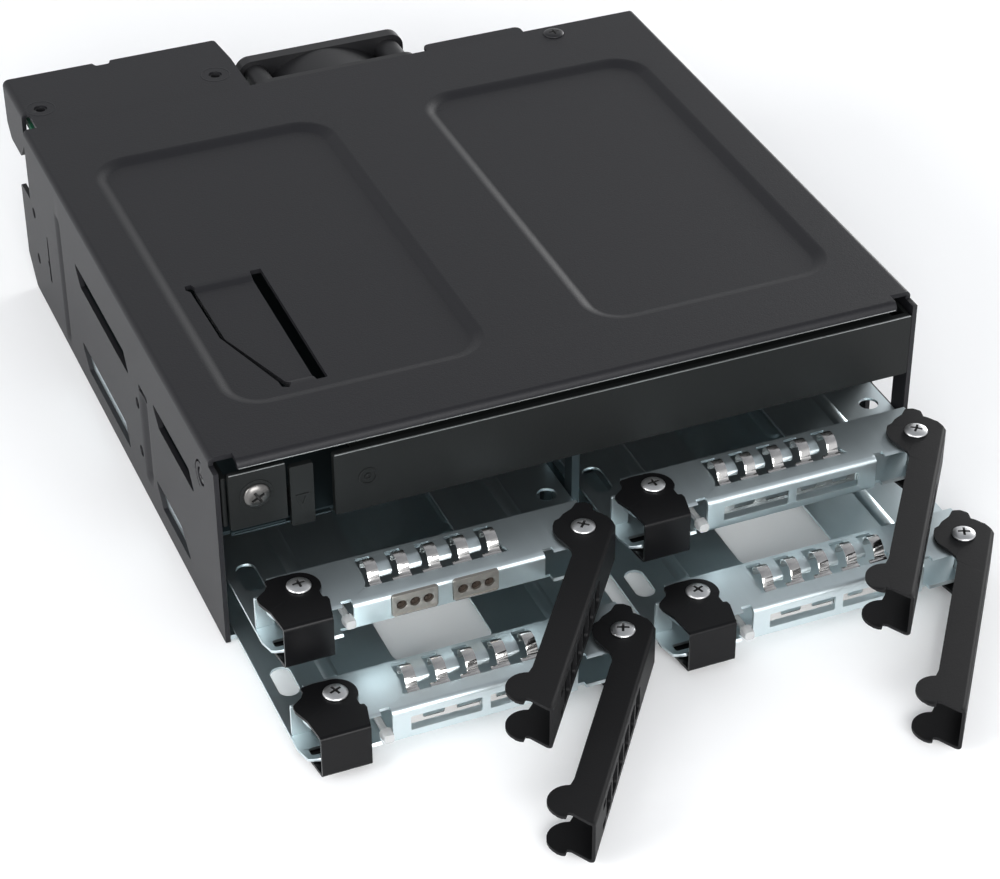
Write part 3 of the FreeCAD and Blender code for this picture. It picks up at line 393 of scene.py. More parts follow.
for x0, x1 in PANS:
    inward = [PAN_SLOPE * k / 8 for k in range(9)]
    steps.append([top(rect(x0 + s, x1 - s, PAN_FRONT + s, PAN_REAR - s, PAN_R - s, 10)) for s in inward])
BRIDGE_FRONT, BRIDGE_REAR, BRIDGE_RAMP, BRIDGE_DEEP = 21.6, 61.0, 1.6, 0.6
L_IN = [(-50.4, BRIDGE_FRONT), (-51.2, 23.6), (-57.2, 41.6), (-57.4, 59.8), (-57.2, BRIDGE_REAR)]
L_OUT = [(-51.2, 20.4), (-52.5, 21.0), (-52.6, 22.8), (-58.2, 41.4), (-58.5, 59.4), (-59.2, 60.4),
         (-59.0, 61.8), (-57.7, 62.0)]
R_IN = [(-45.7, BRIDGE_FRONT), (-45.3, BRIDGE_REAR)]
R_OUT = [(-45.5, 20.9), (-43.3, 20.9), (-42.8, 62.4), (-45.1, 62.4)]
regions = [(rounded(outer), holes + [s[0] for s in steps]),
           (steps[0][-1], [top([L_IN[0]] + L_OUT + [L_IN[-1], R_IN[-1]] + R_OUT[::-1] + [R_IN[0]])]),
           (steps[1][-1], [])]
LIP_R, LIP_V, LIP_CUT = 0.9, 1.4, 0.2828     # the rolled front edge: its radius, where it starts, its cuts
across, lines, _ = fold([(-HALF, 0), (-HALF, WALL), (HALF, WALL), (HALF, 0)], 0.7)
bm = flat(regions, [("u", t) for t in lines] + [("v", LIP_V - LIP_CUT * k) for k in range(6)])
for loops in steps:
    for a, b in zip(loops, loops[1:]):
        va, vb = [[bm.verts.new((x, y, 0)) for x, y in loop] for loop in (a, b)]
        for i in range(len(va)):
            bm.faces.new((va[i - 1], va[i], vb[i], vb[i - 1]))
# The bridge is sunk between its two slots; its depth is kept in z until the sheet is folded.
ramps = [BRIDGE_RAMP * k / 4 for k in range(1, 5)]
bridge = flat([(top(L_IN + R_IN[::-1]), [])],
              [("v", BRIDGE_FRONT + s) for s in ramps] + [("v", BRIDGE_REAR - s) for s in ramps])
for v in bridge.verts:
    f = min(1, (v.co.y - BRIDGE_FRONT) / BRIDGE_RAMP, (BRIDGE_REAR - v.co.y) / BRIDGE_RAMP)
    v.co.z = -BRIDGE_DEEP * f * f * (3 - 2 * f)
spare = bpy.data.meshes.new("bridge")
bridge.to_mesh(spare)
bridge.free()
bm.from_mesh(spare)
bpy.data.meshes.remove(spare)
bmesh.ops.remove_doubles(bm, verts=bm.verts, dist=1e-4)
# Each groove: its place, half width, depth, foot and head.
GROOVES = [(109.3, 2.4, 0.75, 2, 33.5), (47.6, 3.2, 0.95, 5.5, 26.6)]
GROOVE_FADE = 1.4                   # over which a groove runs out at its foot and head
ends = [z for *_, foot, head in GROOVES for z in (foot, foot + GROOVE_FADE, head - GROOVE_FADE, head)]
cut(bm, [("u", t) for t in ends + [SPAN - z for z in ends]]
    + [("v", y + half * (k / 5 - 1)) for y, half, *_ in GROOVES for k in range(11)])


def pan_depth(x, y):
    """Depth of the pressed pans, from the distance inside their rounded outline."""
    cy, hy = (PAN_FRONT + PAN_REAR) / 2, (PAN_REAR - PAN_FRONT) / 2 - PAN_R
    for x0, x1 in PANS:
        cx, hx = (x0 + x1) / 2, (x1 - x0) / 2 - PAN_R
        dx, dy = abs(x - cx) - hx, abs(y - cy) - hy
        inside = PAN_R - math.hypot(max(dx, 0), max(dy, 0)) - min(max(dx, dy), 0)
        f = min(max(inside / PAN_SLOPE, 0), 1)
        if f:
            return PAN_DEEP * (3 * f * f - 2 * f ** 3)
    return 0.0


def groove_depth(y, z):
    """Depth of the upright grooves pressed into each wall."""
    for place, half, deep, foot, head in GROOVES:
        if abs(y - place) < half and foot < z < head:
            fade = min(1, (z - foot) / GROOVE_FADE, (head - z) / GROOVE_FADE)
            return deep * fade * (1 + math.cos(math.pi * (y - place) / half)) / 2
    return 0.0


def cover_place(t, y, sunk):
    """Folds the sheet round the cage, presses its pans and grooves and rolls its front edge down."""
    p = across(t)
    x, z = p.x, p.y + sunk
    if abs(x) < 70:
        z -= pan_depth(x, y)
        if y < LIP_V:
            a = min((LIP_V - y) / LIP_R, math.pi / 2)
            z -= LIP_R * (1 - math.cos(a)) + LIP_V - y - LIP_R * a
            y = LIP_V - LIP_R * math.sin(a)
    else:
        x -= math.copysign(groove_depth(y, z), x)
    return x, Y0 + y, z


for v in bm.verts:
    v.co = cover_place(*v.co)
bmesh.ops.recalc_face_normals(bm, faces=bm.faces)
finish("cover_sheet", bm, "cover", "cage", ["top_cover"], "painted_steel", thick=1.0, edge=0.12)


# ------------ trays
# Each tray is one folded sheet: floor, front lip and top plate.  The lip and the top plate are
# pierced, the floor has its stiffening beads, and a small upright closes each end of the bar.
def warp(bm, where):
    """Moves each drawn point to its place, given as a function of its first two coordinates."""
    for v in bm.verts:
        v.co = Vector(where(*v.co[:2]))
    bmesh.ops.recalc_face_normals(bm, faces=bm.faces)
    return bm


def slab(regions, low, high):
    """A flat plate between two heights."""
    bm = flat(regions)
    out = bmesh.ops.extrude_face_region(bm, geom=bm.faces[:])
    for v in out["geom"]:
        if isinstance(v, bmesh.types.BMVert):
            v.co.z = high
    for v in bm.verts:
        if v.co.z == 0:
            v.co.z = low
    bmesh.ops.recalc_face_normals(bm, faces=bm.faces)
    return bm


def join(*parts):
    """One mesh from several, each a bmesh or a (bmesh, matrix) pair."""
    whole = bmesh.new()
    for part in parts:
        bm, move = part if isinstance(part, tuple) else (part, None)
        mesh = bpy.data.meshes.new("part")
        for empty in (None, None):                  # slots that keep the faces' material marks
            mesh.materials.append(empty)
        bm.to_mesh(mesh)
        bm.free()
        if move is not None:
            mesh.transform(move)
        whole.from_mesh(mesh)
        bpy.data.meshes.remove(mesh)
    return whole


def copy_of(obj, name, body, nodes, slot, move):
    """The same piece again, moved by a matrix in millimetres from where the first one was drawn."""
    mesh = obj.data.copy()
    mesh.name = name
    scale = Matrix.Scale(MM, 4)
    mesh.transform(scale @ move @ scale.inverted())
    return piece(placed(name, mesh), body, nodes)


def other_trays(first, stem, body, node, slot, moves, home="ul", tags=TRAYS[1:]):
    """The piece of one tray again on the others.  The names given are completed by the tray's tag."""
    for tag in tags:
        copy_of(first, f"{stem}_{tag}", f"{body}_{tag}", [f"{node}_{tag}"] if node else [], slot,
                moves[tag] @ moves[home].inverted())


# OUT_Y turns a drawing in (x, z) so that its height points to the front, and OUT_X one in (y, z)
# so that its height points to the right.
OUT_Y = Matrix(((1, 0, 0, 0), (0, 0, -1, 0), (0, 1, 0, 0), (0, 0, 0, 1)))
OUT_X = Matrix(((0, 0, 1, 0), (1, 0, 0, 0), (0, 1, 0, 0), (0, 0, 0, 1)))
BAR, T = 7.5, 0.6                   # height of the bar, thickness of the sheet
DEEP, SIDE, PLATE = 106, 34.85, 15.3          # floor's depth, its half width, and how far the fold runs back
PIN = 1.36                          # radius of the pivot screws' holes
LATCH_PIN, LEVER_PIN = (-26.2, 7.8), (28.9, 3.9)
# Each tray's place: x, distance back and height.
REST = {"ul": (-36.4, -22.8, 13.2), "ur": (36.4, -19.9, 13.2),
        "ll": (-36.4, -41.3, 2.2), "lr": (36.4, -40.4, 2.2)}
AT = {tag: Matrix.Translation((x, Y0 + y, z)) for tag, (x, y, z) in REST.items()}
# Flat: t runs from the floor's rear edge (0) to its front (FLOOR), up the lip and back over the bar.
FLOOR, LIP = DEEP - T / 2, BAR - T
profile, tray_cuts, _ = fold([(DEEP, T / 2), (T / 2, T / 2), (T / 2, BAR - T / 2), (PLATE, BAR - T / 2)], 0.8)


def on_floor(points):
    return [(x, DEEP - y) for x, y in points]


def on_lip(points):
    return [(x, FLOOR + z - T / 2) for x, z in points]


def on_bar(points):
    return [(x, FLOOR + LIP + y - T / 2) for x, y in points]


TAB, TAB_RUN, TAB_DROOP = 8.1, 2.4, 1.4      # the window's tabs: free end, bend's length, droop
STEP = 2.0                          # width of the notch beside each end of the lip
FINGERS = [-0.5 + 5.95 * i for i in (2, 1, 0, -1, -2)]
NOSE_L = [(-SIDE, 4.6), (-34.0, 1.5), (-31.6, 0.35)]
NOSE_R = [(31.0, 0.35), (32.3, 1.1), (33.1, 2.3), (33.45, 3.9), (33.5, 4.3), (SIDE, 4.6)]
PLATE_R = [(34.7, 7.0), (31.6, 9.5), (31.6, 13.3)]                  # cut corners of the bar's top plate
PLATE_L = [(-30.6, 13.3), (-30.6, 9.2), (-33.4, 6.4), (-33.6, 4.2), (-32.8, 1.6), (-31.4, 0.35)]
BEADS = [(-22.5, 20, 98), (22.5, 20, 98), (-15.5, 56, 98), (15.5, 56, 98)]      # x, front and rear


def tray_flat(clips):
    """The upper left tray's lip stops short of its floor; on the others the two are one."""
    lip_l, lip_r = (-18.4, 19.5) if clips else (-18.2, 18.2)
    left, right = lip_l - STEP, lip_r + STEP
    floor_edge = on_floor([(SIDE, DEEP), (SIDE, 84), (34.4, 83), (34.4, 81), (SIDE, 80)] + NOSE_R[::-1]
                          + [(right, 0.35)])
    bar_edge = on_bar([(right, 0.35)] + NOSE_R + PLATE_R + PLATE_L + [(left, 0.35)])
    rest_l = on_floor([(left, 0.35)] + NOSE_L[::-1] + [(-SIDE, DEEP)])
    notch_l, notch_r = on_bar([(left, 1.7), (lip_l, 1.7)]), on_bar([(lip_r, 1.7), (right, 1.7)])
    if clips:
        outlines = [floor_edge + on_floor([(right, 2.4), (left, 2.4)]) + rest_l,
                    bar_edge + notch_l + on_lip([(lip_l, 2.1), (lip_r, 2.1)]) + notch_r]
    else:
        outlines = [floor_edge + on_floor([(right, 1.7), (lip_r, 1.7)]) + notch_r + bar_edge
                    + notch_l + on_floor([(lip_l, 1.7), (left, 1.7)]) + rest_l]
    end_l, end_r = FINGERS[-1] - 1.5, FINGERS[0] + 1.5
    comb = [(end_l - 1.0, 3.9), (end_r + 1.0, 3.9), (end_r + 0.25, 5.6), (end_r, 7.5)]
    for x in FINGERS:
        comb += [(x + 1.5, 12.5), (x - 1.5, 12.5)]
        if x != FINGERS[-1]:
            comb += [(x - 1.5, TAB), (x - 4.35, TAB)]
    comb += [(end_l, 7.5), (end_l - 0.25, 5.6)]
    pins = [ring(*LATCH_PIN, PIN, 20), ring(*LEVER_PIN, PIN, 20)]
    bar_holes = [on_bar(rounded(comb, 0.25, 2))] + [on_bar(pin) for pin in pins]
    if clips:
        bar_holes += [on_lip(rect(a, b, 2.5, 7.1, 0.3, 3)) for a, b in ((-11.2, -1.9), (0.9, 10.1))]
    else:
        bar_holes += [on_lip(rect(a, b, 2.1, 5.3, 0.3, 3)) for a, b in ((-14.7, -0.8), (0.8, 14.4))]
    holes = [on_floor(pin) for pin in pins]
    holes += [on_floor(rect(-10, 10, 19.5, 52, 3.2, 8)), on_floor(rect(-33.1, -27.5, 2.1, 4.1, 0.5, 3))]
    holes += [on_floor(ring(s * 30.86, y, 2.0, 28)) for s, y in ((1, 25.6), (-1, 102.2), (1, 102.2))]
    holes.append(on_floor(rect(-32.86, -28.86, 19.0, 27.6, 1.95, 8)))
    holes += [on_floor(rect(x - 2.2, x + 2.2, y, y + 1.2, 0.55, 4)) for x in (-24, 24) for y in (13.2, 60)]
    bends = [FLOOR + LIP - T / 2 + TAB + 0.4 * k for k in range(7)]
    regions = list(zip(outlines, (holes, bar_holes))) if clips else [(outlines[0], holes + bar_holes)]
    return flat(regions, [("v", t) for t in tray_cuts + bends])


def tray_place(x, t):
    """Along the folded sheet; the tabs between the fingers droop towards their free ends."""
    p = profile(t)
    free = min(1 - (p.x - TAB) / TAB_RUN, 1)
    on_tab = p.y > BAR - T and p.x > TAB - 0.1 and abs(x) < 11.5
    droop = TAB_DROOP * (1 - math.sqrt(1 - free * free)) if on_tab and free > 0 else 0
    return x, p.x, p.y - droop


def bead(x, y0, y1, w, h, base):
    """A pressed stiffening bead: a long low mound with round ends."""
    rows = []
    bm = bmesh.new()
    for f, z in ((1.0, 0.0), (0.86, 0.25), (0.62, 0.75), (0.35, 0.97), (0.1, 1.0)):
        loop = turn_arc(x, y0 + w, w * f, 180, 360, 8) + turn_arc(x, y1 - w, w * f, 0, 180, 8)
        rows.append([bm.verts.new((a, b, base + h * z)) for a, b in loop])
    for a, b in zip(rows, rows[1:]):
        for i in range(len(a)):
            bm.faces.new((a[i - 1], a[i], b[i], b[i - 1]))
    bm.faces.new(rows[-1])
    return bm


for tag in ("ul", "ur"):
    sheet = finish(f"tray_sheet_{tag}", warp(tray_flat(tag == "ul"), tray_place), "zinc", f"tray_{tag}",
                   [f"tray_{tag}"], "zinc_steel", thick=T, edge=0.07, move=AT[tag])
other_trays(sheet, "tray_sheet", "tray", "tray", "zinc_steel", AT, "ur", ("ll", "lr"))
uprights = [(slab([(rect(-34.6, -31.0, T, BAR, 0.3, 3), [])], -9.0, -8.4), OUT_Y),
            (slab([(rect(9.7, 13.2, T, BAR - T, 0.3, 3), [])], 31.0, 31.6), OUT_X)]
beads = [bead(x, y0, y1, 1.5, 0.35, T) for x, y0, y1 in BEADS]
ears = finish("tray_ears_ul", join(*uprights, *beads), "zinc", "tray_ul", [], "zinc_steel", edge=0.05,
              move=AT["ul"], smooth=50)
other_trays(ears, "tray_ears", "tray", None, "zinc_steel", AT)


# ------------ spring fingers
# The strip is a comb of thin nickel springs: a pierced foot behind the lip, then five fingers
# that rise through the castellated window and curl over.
# The side view, from the foot to the tips.
ARCH = [(0.85, 1.0), (0.85, 6.6), (3.9, 6.68), (4.4, 7.15), (5.5, 7.2), (5.8, 8.0), (6.3, 8.9), (7.3, 9.6),
        (8.6, 9.75), (9.7, 9.25), (10.2, 8.2), (10.1, 7.0)]
EYES = [(-12.1, -7.9), (-5.5, -0.7), (2.2, 5.4), (9.0, 12.4)]
ROOT, TIP = 10, 20.6                # drawn length of the strip's root and of its fingers


def strip_flat():
    edge = [(-14.8, 2), (14.4, 2), (14.4, 7.8), (FINGERS[0] + 1.8, 8.6)]
    for x in FINGERS:
        left = 1.1 if x == FINGERS[-1] else 2.5
        edge += [(x + 1.1, 8.9), (x + 1.1, TIP, 0.4), (x - 1.1, TIP, 0.4), (x - 1.1, 10.1),
                 (x - left - 0.1, 10.1), (x - left - 0.1, 8.9)]
    return rounded(edge + [(-14.8, 7.8)], 0.15, 2)


eased = 0.45 * min((Vector(b) - Vector(a)).length for a, b in zip(ARCH, ARCH[1:]))
arch, arch_cuts, arch_marks = fold(ARCH, eased, 3)
stretch = (arch_marks[-1] - ROOT) / (TIP - ROOT)
outline = [(x, t if t < ROOT else ROOT + (t - ROOT) * stretch) for x, t in strip_flat()]
bm = flat([(outline, [rect(a, b, 2.7, 4.2, 0.3, 3) for a, b in EYES])], [("v", t) for t in arch_cuts])
strip = finish("fingers_ul", warp(bm, lambda x, t: (x, arch(t).x, arch(t).y)), "nickel", "tray_ul",
               ["finger_strip_ul"], "nickel", thick=0.22, edge=0.04, move=AT["ul"], smooth=60)
other_trays(strip, "fingers", "tray", "finger_strip", "nickel", AT)


# ------------ light pipes
# A clear rod with a rounded lens at the front and a foot at the rear.  The upper left tray's pipe
# sits higher, under its shorter lip.
PIPE_X, PIPE_Z = -20, 2.05
lens = slab([(rect(PIPE_X - 1.2, PIPE_X + 1.2, 0.9, 3.2, 0.7, 5), [])], -1.2, 0.8)
for v in lens.verts:
    if v.co.z > 0:
        v.co.x, v.co.y = PIPE_X + (v.co.x - PIPE_X) * 0.8, PIPE_Z + (v.co.y - PIPE_Z) * 0.8
stem = slab([(rect(PIPE_X - 0.6, PIPE_X + 0.6, 1.5, 2.7, 0.3, 4), [])], -12, -1.2)
foot = slab([(rect(PIPE_X - 0.9, PIPE_X + 0.9, 0.6, 1.6, 0.2, 3), [])], -12, -8)
PIPE_AT = {tag: AT[tag] @ Matrix.Translation((0.7, 0, 1.5) if tag == "ul" else (0.8, 0, 0)) for tag in TRAYS}
pipe = finish("pipe_ul", join(*[(part, OUT_Y) for part in (lens, stem, foot)]), "clear", "tray_ul",
              ["light_pipe_ul"], "clear_plastic", edge=0.12, move=PIPE_AT["ul"], smooth=50)
other_trays(pipe, "pipe", "tray", "light_pipe", "clear_plastic", PIPE_AT)


# ------------ clip inserts
# Two bronze plates in the upper left lip, each with a rim above and below and three round eyes.
# A dark pocket lies behind each plate, with a stud in each eye.
CLIP_LOW, CLIP_HIGH, CLIP_WIDE, EYE_PITCH = 2.55, 7.25, 9.0, 2.65
inserts, pockets = [], []
for x in (-11.1, 1.0):
    end, middle = x + CLIP_WIDE, x + CLIP_WIDE / 2
    eyes = [ring(middle + k * EYE_PITCH, 4.9, 1.0, 24) for k in (-1, 0, 1)]
    inserts.append((slab([(rect(x, end, CLIP_LOW, CLIP_HIGH, 0.5, 4), eyes)], -0.3, 0.35), OUT_Y))
    inserts += [(slab([(rect(x + 0.3, end - 0.3, z, z + 0.35, 0.15, 3), [])], 0.3, 0.5), OUT_Y)
                for z in (CLIP_LOW, CLIP_HIGH - 0.35)]
    pocket = rect(x + 0.2, end - 0.2, CLIP_LOW + 0.2, CLIP_HIGH - 0.2, 0.4, 4)
    pockets.append((slab([(pocket, [])], -0.55, -0.32), OUT_Y))
    pockets += [(slab([(ring(middle + k * EYE_PITCH - 0.25, 4.75, 0.42, 16), [])], -0.3, 0.05), OUT_Y)
                for k in (-1, 0, 1)]
finish("clip_plates", join(*inserts), "bronze", "tray_ul", ["clip_inserts_ul"], "clip_bronze", edge=0.1,
       move=AT["ul"], smooth=40)
finish("clip_pockets", join(*pockets), "pocket", "tray_ul", [], "clip_bronze", edge=0.05, move=AT["ul"],
       smooth=40)


# ------------ levers and latches
# Both are folded channels that wrap the bar: two equal flanges joined by a web.  The lever's web runs
# the length of its arm and is pierced by slots, and the latch's web is its thumb face.
LOW, HIGH = -0.9 + T / 2, BAR + 0.9 - T / 2          # mid sheet levels of the two flanges


def channel(flange, web, slots=()):
    """flange: (u, v) outline that starts and ends on the web line v = web; slots lie on the web."""
    v0 = min(v for u, v in flange) - 5
    deep, tall = web - v0, HIGH - LOW

    def lower(points):
        return [(u, v - v0) for u, v in points]

    def upper(points):
        return [(u, deep + tall + web - v) for u, v in points]

    pin = ring(0, 0, PIN, 20)
    slots = [[(u, deep + z - LOW) for u, z in s] for s in slots]
    place, cuts, _ = fold([(v0, LOW), (web, LOW), (web, HIGH), (v0, HIGH)], 0.5)
    outline = lower(flange) + upper(flange[::-1])
    bm = flat([(outline, [lower(pin), upper(pin)] + slots)], [("v", t) for t in cuts])
    return warp(bm, lambda u, t: (u, place(t).x, place(t).y))


def pivots(pin):
    """Where a pivot pin stands on each tray."""
    return {tag: Matrix.Translation((x + pin[0], Y0 + y + pin[1], z)) for tag, (x, y, z) in REST.items()}


LEVER, LATCH = pivots(LEVER_PIN), pivots(LATCH_PIN)
# The lever is drawn along +U with its pivot at the origin, and turned to its open rest pose.
OPEN = Matrix.Rotation(math.radians(234), 4, "Z")
WEB_V = 5.4
lever_edge = [(51.6, WEB_V), (51.5, 4.6), (49.9, 1.2, 0.2), (49.9, 0.4, 0.2), (51.0, 0.35, 0.2),
              (51.1, -0.3, 0.25), (50.9, -1.2)]
lever_edge += turn_arc(47.0, 0.2, 4.05, -24, -168, 12)
lever_edge += [(42.7, -0.55, 0.3), (41.4, -0.3, 0.5), (8.4, -0.3, 1.2), (7.0, -0.8, 0.6)]
lever_edge += turn_arc(0, 0, 5.75, -30, -98, 8)
lever_edge += [(-1.7, -5.0, 0.4), (-3.2, -4.6, 0.6), (-5.2, -3.4, 0.7), (-7.3, -3.0, 0.8), (-7.75, -1.5, 0.8),
               (-7.3, 0.1, 0.8), (-5.6, 0.8, 0.5)]
lever_edge += turn_arc(0, 0, 5.6, 172, 148, 4)
lever_edge += [(-4.5, 3.7, 0.3), (-3.6, 4.6, 0.4), (-2.6, WEB_V)]
vents = [rect(12 + i * 5.2, 16.2 + i * 5.2, 1.15, 6.35, 0.7, 4) for i in range(6)]
vents += [rect(42.8, 45.0, z, z + 1.4, 0.3, 3) for z in (0.8, 5.3)]
lever = finish("lever_sheet_ul", channel(rounded(lever_edge, 0.0, 4), WEB_V, vents), "lever", "lever_ul",
               ["lever_ul"], "black_lever", thick=T, edge=0.09, move=LEVER["ul"] @ OPEN)
# The latch is drawn mirrored in V, because its web is at the front.
WEB_FRONT = 10.4
latch_edge = [(2.9, -WEB_FRONT), (4.0, -5.6, 0.4), (3.85, -4.5, 0.35), (3.1, -4.4, 0.3), (3.05, -2.6, 0.4),
              (3.9, -1.4, 0.6)]
latch_edge += turn_arc(0, 0, 4.1, -12, 96, 12)
latch_edge += [(-2.6, 4.2, 0.5), (-5.4, 3.9, 0.6), (-5.4, 2.5, 0.4), (-6.1, 1.3, 0.6), (-8.3, -0.3, 0.8),
               (-8.3, -1.8, 0.8), (-7.2, -5.0, 1.5), (-6.6, -WEB_FRONT)]
bm = channel([(u, -v) for u, v in rounded(latch_edge, 0.0, 4)], WEB_FRONT)
for v in bm.verts:
    v.co.y = -v.co.y
bmesh.ops.recalc_face_normals(bm, faces=bm.faces)
latch = finish("latch_sheet_ul", bm, "latch", "latch_ul", ["latch_ul"], "black_lever", thick=T, edge=0.09,
               move=LATCH["ul"])
for tag in TRAYS[1:]:
    other_trays(lever, "lever_sheet", "lever", "lever", "black_lever", LEVER, tags=[tag])
    other_trays(latch, "latch_sheet", "latch", "latch", "black_lever", LATCH, tags=[tag])


# ------------ pivot screws
# Pan heads turned on a lathe with a pressed cross recess, one drawing for every size; the faces
# inside the cross are near black, painted shade.  Latch and lever screws, and upper and lower ones,
# have their crosses at different angles.
def lathe(profile, n=40):
    """Turns (radius, height) points round Z."""
    bm = bmesh.new()
    rows = []
    turn = [2 * math.pi * i / n for i in range(n)]
    for r, z in profile:
        if r < 1e-6:
            rows.append([bm.verts.new((0, 0, z))] * n)
        else:
            rows.append([bm.verts.new((r * math.cos(a), r * math.sin(a), z)) for a in turn])
    for a, b in zip(rows, rows[1:]):
        for i in range(n):
            quad = [a[i - 1], a[i], b[i], b[i - 1]]
            quad = [v for k, v in enumerate(quad) if v not in quad[:k]]
            if len(quad) > 2:
                bm.faces.new(quad)
    bmesh.ops.recalc_face_normals(bm, faces=bm.faces)
    return bm


def screw_mesh(head_r, head_h, shank_r, shank_low, recess=0.55):
    """Head seat at height 0, shank down to shank_low."""
    dome = [(head_r * f, head_h * (1 - 0.7 * f ** 4))
            for f in (0.0, 0.14, 0.28, 0.42, 0.56, 0.7, 0.82, 0.92, 0.98)]
    body = dome + [(head_r, head_h * 0.15), (head_r * 0.98, 0), (shank_r, 0), (shank_r, shank_low + 0.3),
                   (shank_r * 0.8, shank_low), (0, shank_low)]
    arm, w = head_r * 0.62, head_r * 0.125
    cross, quarter = [], [(w, w, w * 0.5), (w, arm), (-w, arm)]
    for _ in range(4):
        cross += quarter
        quarter = [(-y, x, *r) for x, y, *r in quarter]
    tool = slab([(rounded(cross, 0, 2), [])], head_h - recess, head_h + 1)
    for v in tool.verts:
        if v.co.z < head_h:
            v.co.x, v.co.y = v.co.x * 0.75, v.co.y * 0.75
    parts = []
    for bm in (lathe(body, 48), tool):
        mesh = bpy.data.meshes.new("part")
        bm.to_mesh(mesh)
        bm.free()
        parts.append(placed("part", mesh))
    boolean = parts[0].modifiers.new("cross", "BOOLEAN")
    boolean.operation, boolean.object, boolean.solver = "DIFFERENCE", parts[1], "EXACT"
    made = bpy.data.meshes.new_from_object(parts[0].evaluated_get(bpy.context.evaluated_depsgraph_get()))
    for part in parts:
        mesh = part.data
        bpy.data.objects.remove(part)
        bpy.data.meshes.remove(mesh)
    bm = bmesh.new()
    bm.from_mesh(made)
    bpy.data.meshes.remove(made)
    # the faces inside the cross get the dark recess material: painted shade
    for face in bm.faces:
        c = face.calc_center_median()
        if math.hypot(c.x, c.y) < arm * 1.1 and head_h - recess - 0.05 < c.z < head_h * 0.86:
            face.material_index = 1
    return bm


first = None
for tag in TRAYS:
    for kind, where, spin in (("latch", LATCH, 94), ("lever", LEVER, 139)):
        turn = Matrix.Rotation(math.radians(spin + 17 * "ul".index(tag[0])), 4, "Z")
        seat = where[tag] @ Matrix.Translation((0, 0, BAR + 1.0)) @ turn
        name, role = f"{kind}_screw_{tag}_part", (f"tray_{tag}", [f"{kind}_screw_{tag}"], "screw_zinc")
        if first is None:
            home = seat
            first = finish(name, screw_mesh(2.35, 0.8, 1.25, -9.6), "screw", *role, edge=0.05, move=seat,
                           smooth=40)
        else:
            copy_of(first, name, *role, seat @ home.inverted())


# ------------ bezel
# The long pressed front of the optical bay: a face with its top and bottom returns and the lug at
# its right end.  The raised mark on it is a plain ring with a dot.
def upright(regions, y0, y1):
    """A plate drawn in (x, z) that fills y0 to y1 behind the cage's front."""
    return slab(regions, -y1, -y0), Matrix.Translation((0, Y0, 0)) @ OUT_Y


def level(regions, z0, z1):
    """A plate drawn in (x, distance back) that fills z0 to z1."""
    return slab(regions, z0, z1), Matrix.Translation((0, Y0, 0))


MARK = (-43.5, 31.6)
face = [upright([(rect(-50.1, 71.4, 24.35, 38.1, 0.5, 3), [])], -0.85, 0.65),
        level([(rect(-46, 68, 0.6, 6, 0.6, 3), [])], 37.0, 37.8),
        level([(rect(-46, 68, 0.6, 6, 0.6, 3), [])], 24.8, 25.5),
        upright([(ring(*MARK, 1.9, 40), [ring(*MARK, 1.5, 40)])], -1.08, -0.8),
        upright([(ring(*MARK, 0.7, 28), [ring(*MARK, 0.4, 24)])], -1.08, -0.8),
        level([(rect(70.7, 71.5, 0.6, 11, 0.3, 3), [])], 26.8, 37.8)]
finish("bezel_face", join(*face), "bezel", "cage", ["bay_bezel"], "bezel_steel", edge=0.22)


# ------------ end plate and its screw
# The short plate left of the lock, with a raised rim round its dark nickel screw and a lug at its
# left end.
END_SCREW = (-65.2, 33.4)           # x and height
plate = [upright([(rounded([(-70.5, 26.4), (-59.4, 26.4), (-59.4, 38.9), (-70.5, 38.9)], 0.4, 3),
                   [ring(*END_SCREW, 1.5, 24)])], -0.6, 0.4),
         upright([(ring(*END_SCREW, 3.3, 40), [ring(*END_SCREW, 1.5, 24)])], -0.75, -0.55),
         level([(rect(-70.5, -59.6, 0.4, 2, 0.2, 2), [])], 37.0, 37.8),
         level([(rect(-71.6, -70.6, 0.6, 11, 0.3, 3), [])], 26.9, 37.8)]
finish("end_plate", join(*plate), "bezel", "cage", ["bezel_end_plate"], "bezel_steel", edge=0.18)
seat = Matrix.Translation((END_SCREW[0], Y0 - 0.62, END_SCREW[1])) @ OUT_Y
finish("end_plate_screw", screw_mesh(2.6, 1.1, 1.3, -4.6, 0.7), "old_nickel", "cage", ["bezel_screw"],
       "screw_zinc", edge=0.05, move=seat @ Matrix.Rotation(0.5, 4, "Z"), smooth=40)


# ------------ lock tab
# The sliding tab between the end plate and the bezel, with its tongue behind it.  The raised
# open arrow on its face points down.
tab = [upright([(rect(-58.7, -54.1, 24.15, 37.7, 0.4, 3), [])], -0.75, 0.45),
       level([(rect(-57.5, -55.3, 0.3, 6.9, 0.4, 3), [])], 24.85, 27.5),
       upright([(rounded([(-57.9, 31.2), (-55.1, 31.2), (-56.5, 27.4)], 0.2, 2),
                 [rounded([(-57.1, 30.6), (-55.9, 30.6), (-56.5, 28.9)], 0.1, 2)])], -0.95, -0.7)]
finish("lock_tab", join(*tab), "bezel", "bay_lock_tab", ["bay_lock_tab"], "bezel_steel", edge=0.14)


# ------------ edge highlights
# Thin bright lines on the cover's lip and the tops of bezel and end plate: painted highlights where
# these edges catch the light, on the cover's lip partly its bare cut metal.  The shelf's cut edge
# below the end plate and the lock is in the divider's darker zinc, painted shade.
edges = [level([(rect(-68.1, 68.1, -0.04, 0.2, 0.05, 2), [])], 39.55, 39.75),
         level([(rect(-49.9, 71.2, -0.88, -0.6, 0.05, 2), [])], 37.92, 38.12),
         level([(rect(-70.3, -59.5, -0.63, -0.4, 0.05, 2), [])], 38.78, 38.92)]
# the strips are painted highlights
finish("front_edges", join(*edges), "edge_highlight", "cage", [], "painted_steel", edge=0.05)
